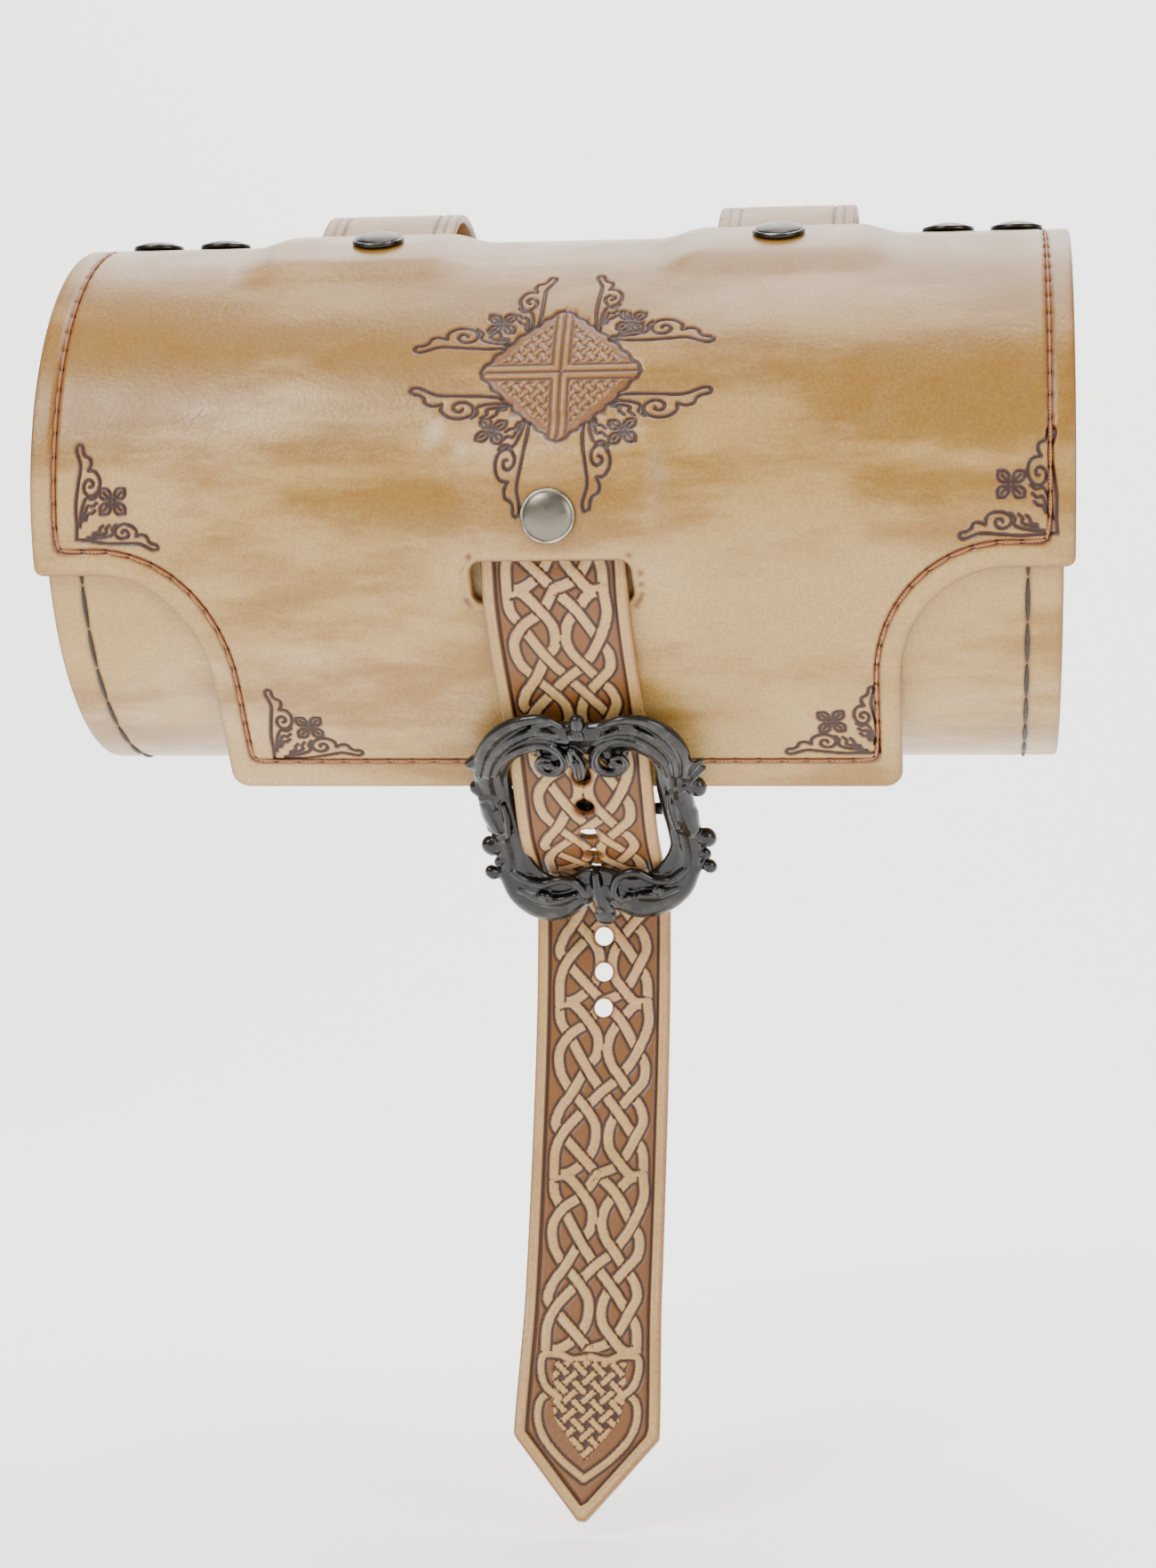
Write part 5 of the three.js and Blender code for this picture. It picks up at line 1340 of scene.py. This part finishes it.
def leather(name, golden_amount, light, rosy, rough, wrinkle, burnish=(0.15, 0.05, 0.010, 1)):
    """Hide colour and grain on one Principled shader, its gloss lower where it is dyed."""
    material, tree, shader = new_material(name)
    colour = add(tree, "ShaderNodeGroup", node_tree=hide)
    colour.inputs["Golden amount"].default_value = golden_amount
    colour.inputs["Light"].default_value, colour.inputs["Rosy"].default_value = light, rosy
    colour.inputs["Burnish"].default_value = burnish
    skin = add(tree, "ShaderNodeGroup", node_tree=grain)
    skin.inputs["Wrinkle"].default_value = wrinkle
    where = add(tree, "ShaderNodeTexCoord").outputs["Object"]
    smear = add(tree, "ShaderNodeTexNoise", {"Vector": where, "Scale": 60.0, "Detail": 3.0})
    gloss = add(tree, "ShaderNodeMapRange",
                {0: smear.outputs[0], 1: 0.3, 2: 0.7, 3: rough - 0.07, 4: rough + 0.09})
    gloss = combine(tree, "ADD", gloss.outputs[0], combine(tree, "MULTIPLY", colour.outputs["Dyed"], 0.15))
    tree.links.new(colour.outputs["Color"], shader.inputs["Base Color"])
    tree.links.new(gloss, shader.inputs["Roughness"])
    bump = add(tree, "ShaderNodeBump", {"Height": skin.outputs[0], "Strength": 0.22, "Distance": 0.0006})
    tree.links.new(bump.outputs[0], shader.inputs["Normal"])
    shader.inputs["Specular IOR Level"].default_value = 0.42
    shader.inputs["Coat Weight"].default_value = 0.12
    shader.inputs["Coat Roughness"].default_value = 0.3
    return material


plain_leather = leather("natural leather", 0.72, (0.42, 0.26, 0.085, 1), (0.48, 0.31, 0.14, 1), 0.34, 0.9)
tooled_leather = leather("tooled leather", 0.30, (0.44, 0.275, 0.10, 1), (0.46, 0.265, 0.12, 1), 0.40, 0.2,
                         (0.19, 0.066, 0.006, 1))


def thread(name, colour, dark):
    """Twisted strands as fine slanting waves in colour and height."""
    material, tree, shader = new_material(name)
    place = add(tree, "ShaderNodeTexCoord").outputs["Object"]
    twist = add(tree, "ShaderNodeTexWave", {"Vector": place, "Scale": 620.0, "Distortion": 1.0},
                bands_direction="DIAGONAL")
    tree.links.new(mixed(tree, twist.outputs["Fac"], dark, colour), shader.inputs["Base Color"])
    bump = add(tree, "ShaderNodeBump", {"Height": twist.outputs["Fac"], "Strength": 0.5, "Distance": 0.0002})
    tree.links.new(bump.outputs[0], shader.inputs["Normal"])
    shader.inputs["Roughness"].default_value = 0.55
    return material


brown_thread = thread("brown thread", (0.42, 0.17, 0.06, 1), (0.16, 0.05, 0.015, 1))
black_thread = thread("waxed black thread", (0.03, 0.025, 0.02, 1), (0.008, 0.007, 0.006, 1))


def metal(name, deep, raised, rough, metallic, cloud, lacquer=0.0):
    """Patina: the attribute lifts the rivets' rims and the raised relief from the dark ground as wear, and on
    the cast buckle the lift is also a painted highlight on the high points; noise clouds colour and gloss.
    """
    material, tree, shader = new_material(name)
    place = add(tree, "ShaderNodeTexCoord").outputs["Object"]
    noise = add(tree, "ShaderNodeTexNoise",
                {"Vector": place, "Scale": cloud, "Detail": 5.0, "Roughness": 0.6})
    pits = add(tree, "ShaderNodeTexNoise", {"Vector": place, "Scale": 900.0, "Detail": 3.0})
    rim_mask = add(tree, "ShaderNodeAttribute", attribute_name="edge").outputs["Fac"]
    cloudy = reached(tree, noise.outputs[0], 0.35, 0.65)
    lifted = combine(tree, "MULTIPLY", reached(tree, rim_mask, 0.35, 1.0), cloudy)
    tree.links.new(mixed(tree, lifted, deep, raised), shader.inputs["Base Color"])
    gloss = add(tree, "ShaderNodeMapRange",
                {0: noise.outputs[0], 1: 0.3, 2: 0.7, 3: rough - 0.06, 4: rough + 0.1})
    tree.links.new(gloss.outputs[0], shader.inputs["Roughness"])
    bump = add(tree, "ShaderNodeBump", {"Height": pits.outputs[0], "Strength": 0.12, "Distance": 0.0003})
    tree.links.new(bump.outputs[0], shader.inputs["Normal"])
    shader.inputs["Metallic"].default_value = metallic
    shader.inputs["Coat Weight"].default_value = lacquer
    shader.inputs["Coat Roughness"].default_value = 0.1
    return material


# The cast buckle's lighter raised colour marks wear on its high points and is also a painted highlight there.
dark_cast = metal("blackened cast metal", (0.004, 0.0035, 0.003, 1), (0.035, 0.031, 0.027, 1),
                  0.2, 0.35, 320.0, 0.25)
old_nickel = metal("antique nickel", (0.17, 0.155, 0.12, 1), (0.62, 0.60, 0.54, 1), 0.30, 1.0, 260.0)
# Nickel whose dome colour is darkened as a painted dark reflection; the rim is lifted to the lighter nickel
# tone.
nickel_painted_dark = metal("nickel with painted dark reflection", (0.035, 0.032, 0.028, 1), (0.52, 0.50, 0.46, 1), 0.28, 1.0, 260.0)
print("materials", len(bpy.data.materials))


# %% Dress the pieces and tie them to the frame
def dress(piece, material, slot, *nodes):
    """Material, body, and the solids that the piece stands for; the slot is not used."""
    piece.data.materials.clear()
    piece.data.materials.append(material)
    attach(piece, "root")
    if nodes:
        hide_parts(*nodes)


dress(flap, plain_leather, "natural_leather", "flap")
dress(tube, plain_leather, "natural_leather", "body_tube")
for side in ("left", "right"):
    dress(ends[side], plain_leather, "natural_leather", f"end_cap_{side}")
    dress(loops[side], plain_leather, "natural_leather", f"belt_loop_{side}")
dress(strap, tooled_leather, "tooled_leather", "closure_strap")
dress(chape, plain_leather, "natural_leather", "buckle_chape")
dress(flap_thread, brown_thread, "natural_leather")
dress(seam_thread, black_thread, "natural_leather")
dress(buckle, dark_cast, "dark_cast_metal", "buckle_frame")
dress(prong, dark_cast, "dark_cast_metal", "buckle_prong")
for name, piece in rivets.items():
    # The loop and side rivets take the nickel with the painted dark reflection on their domes.
    dress(piece, nickel_painted_dark if "loop" in name or "side" in name else old_nickel, "antique_nickel", name)

# %% [markdown]
# ## Floor and light
# The pouch hangs before a pale sweep. Wide soft lights from the front left and above give the broad
# highlights on the curved flap, and a smaller one from the right picks out the cast metal.

# %% Sweep and lights
floor_material, _, floor_shader = new_material("pale floor")
floor_shader.inputs["Base Color"].default_value = (0.86, 0.86, 0.85, 1)
floor_shader.inputs["Roughness"].default_value = 0.9
floor_shader.inputs["Emission Color"].default_value = (1.0, 1.0, 1.0, 1)
floor_shader.inputs["Emission Strength"].default_value = 0.9
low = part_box("closure_strap")[0][2] - 0.004
sweep_line = np.vstack([[[-2.5, 0.0], [0.6, 0.0]], [[0.6 + 0.5 * math.sin(t), 0.5 - 0.5 * math.cos(t)]
                                                  for t in np.linspace(0.1, math.pi / 2, 16)], [[1.1, 2.5]]])
sweep_points = [(x, y, z + low) for y, z in sweep_line for x in (-3.0, 3.0)]
sweep_faces = [(2 * i, 2 * i + 1, 2 * i + 3, 2 * i + 2) for i in range(len(sweep_line) - 1)]
sweep_mesh = bpy.data.meshes.new("sweep")
sweep_mesh.from_pydata(sweep_points, [], sweep_faces)
sweep_mesh.polygons.foreach_set("use_smooth", np.ones(len(sweep_faces), bool))
sweep_mesh.materials.append(floor_material)
sweep = bpy.data.objects.new("sweep", sweep_mesh)
bpy.context.scene.collection.objects.link(sweep)


def soft_light(name, place, target, size, power):
    """A square area light that looks from its place to its target."""
    data = bpy.data.lights.new(name, "AREA")
    data.shape, data.size, data.energy = "SQUARE", size, power
    lamp = bpy.data.objects.new(name, data)
    place, target = np.array(place), np.array(target)
    away = place - target
    lamp.location = place
    tilt = math.atan2(math.hypot(away[0], away[1]), away[2])
    lamp.rotation_euler = (tilt, 0.0, math.atan2(away[0], -away[1]))
    bpy.context.scene.collection.objects.link(lamp)


soft_light("key", (-0.9, -1.5, 1.1), (0.0, -0.06, -0.05), 0.8, 34.0)
soft_light("fill", (1.4, -1.2, 0.3), (0.0, -0.06, -0.08), 0.9, 16.0)
soft_light("top", (0.1, -0.2, 1.5), (0.0, -0.06, 0.0), 0.9, 18.0)
soft_light("back", (0.0, 0.75, 1.3), (0.0, 1.1, 0.3), 1.2, 22.0)
world = bpy.data.worlds.new("studio")
world.use_nodes = True
world.node_tree.nodes["Background"].inputs[0].default_value = (1.0, 1.0, 1.0, 1)
world.node_tree.nodes["Background"].inputs[1].default_value = 0.62
bpy.context.scene.world = world
print("lights and sweep ready")
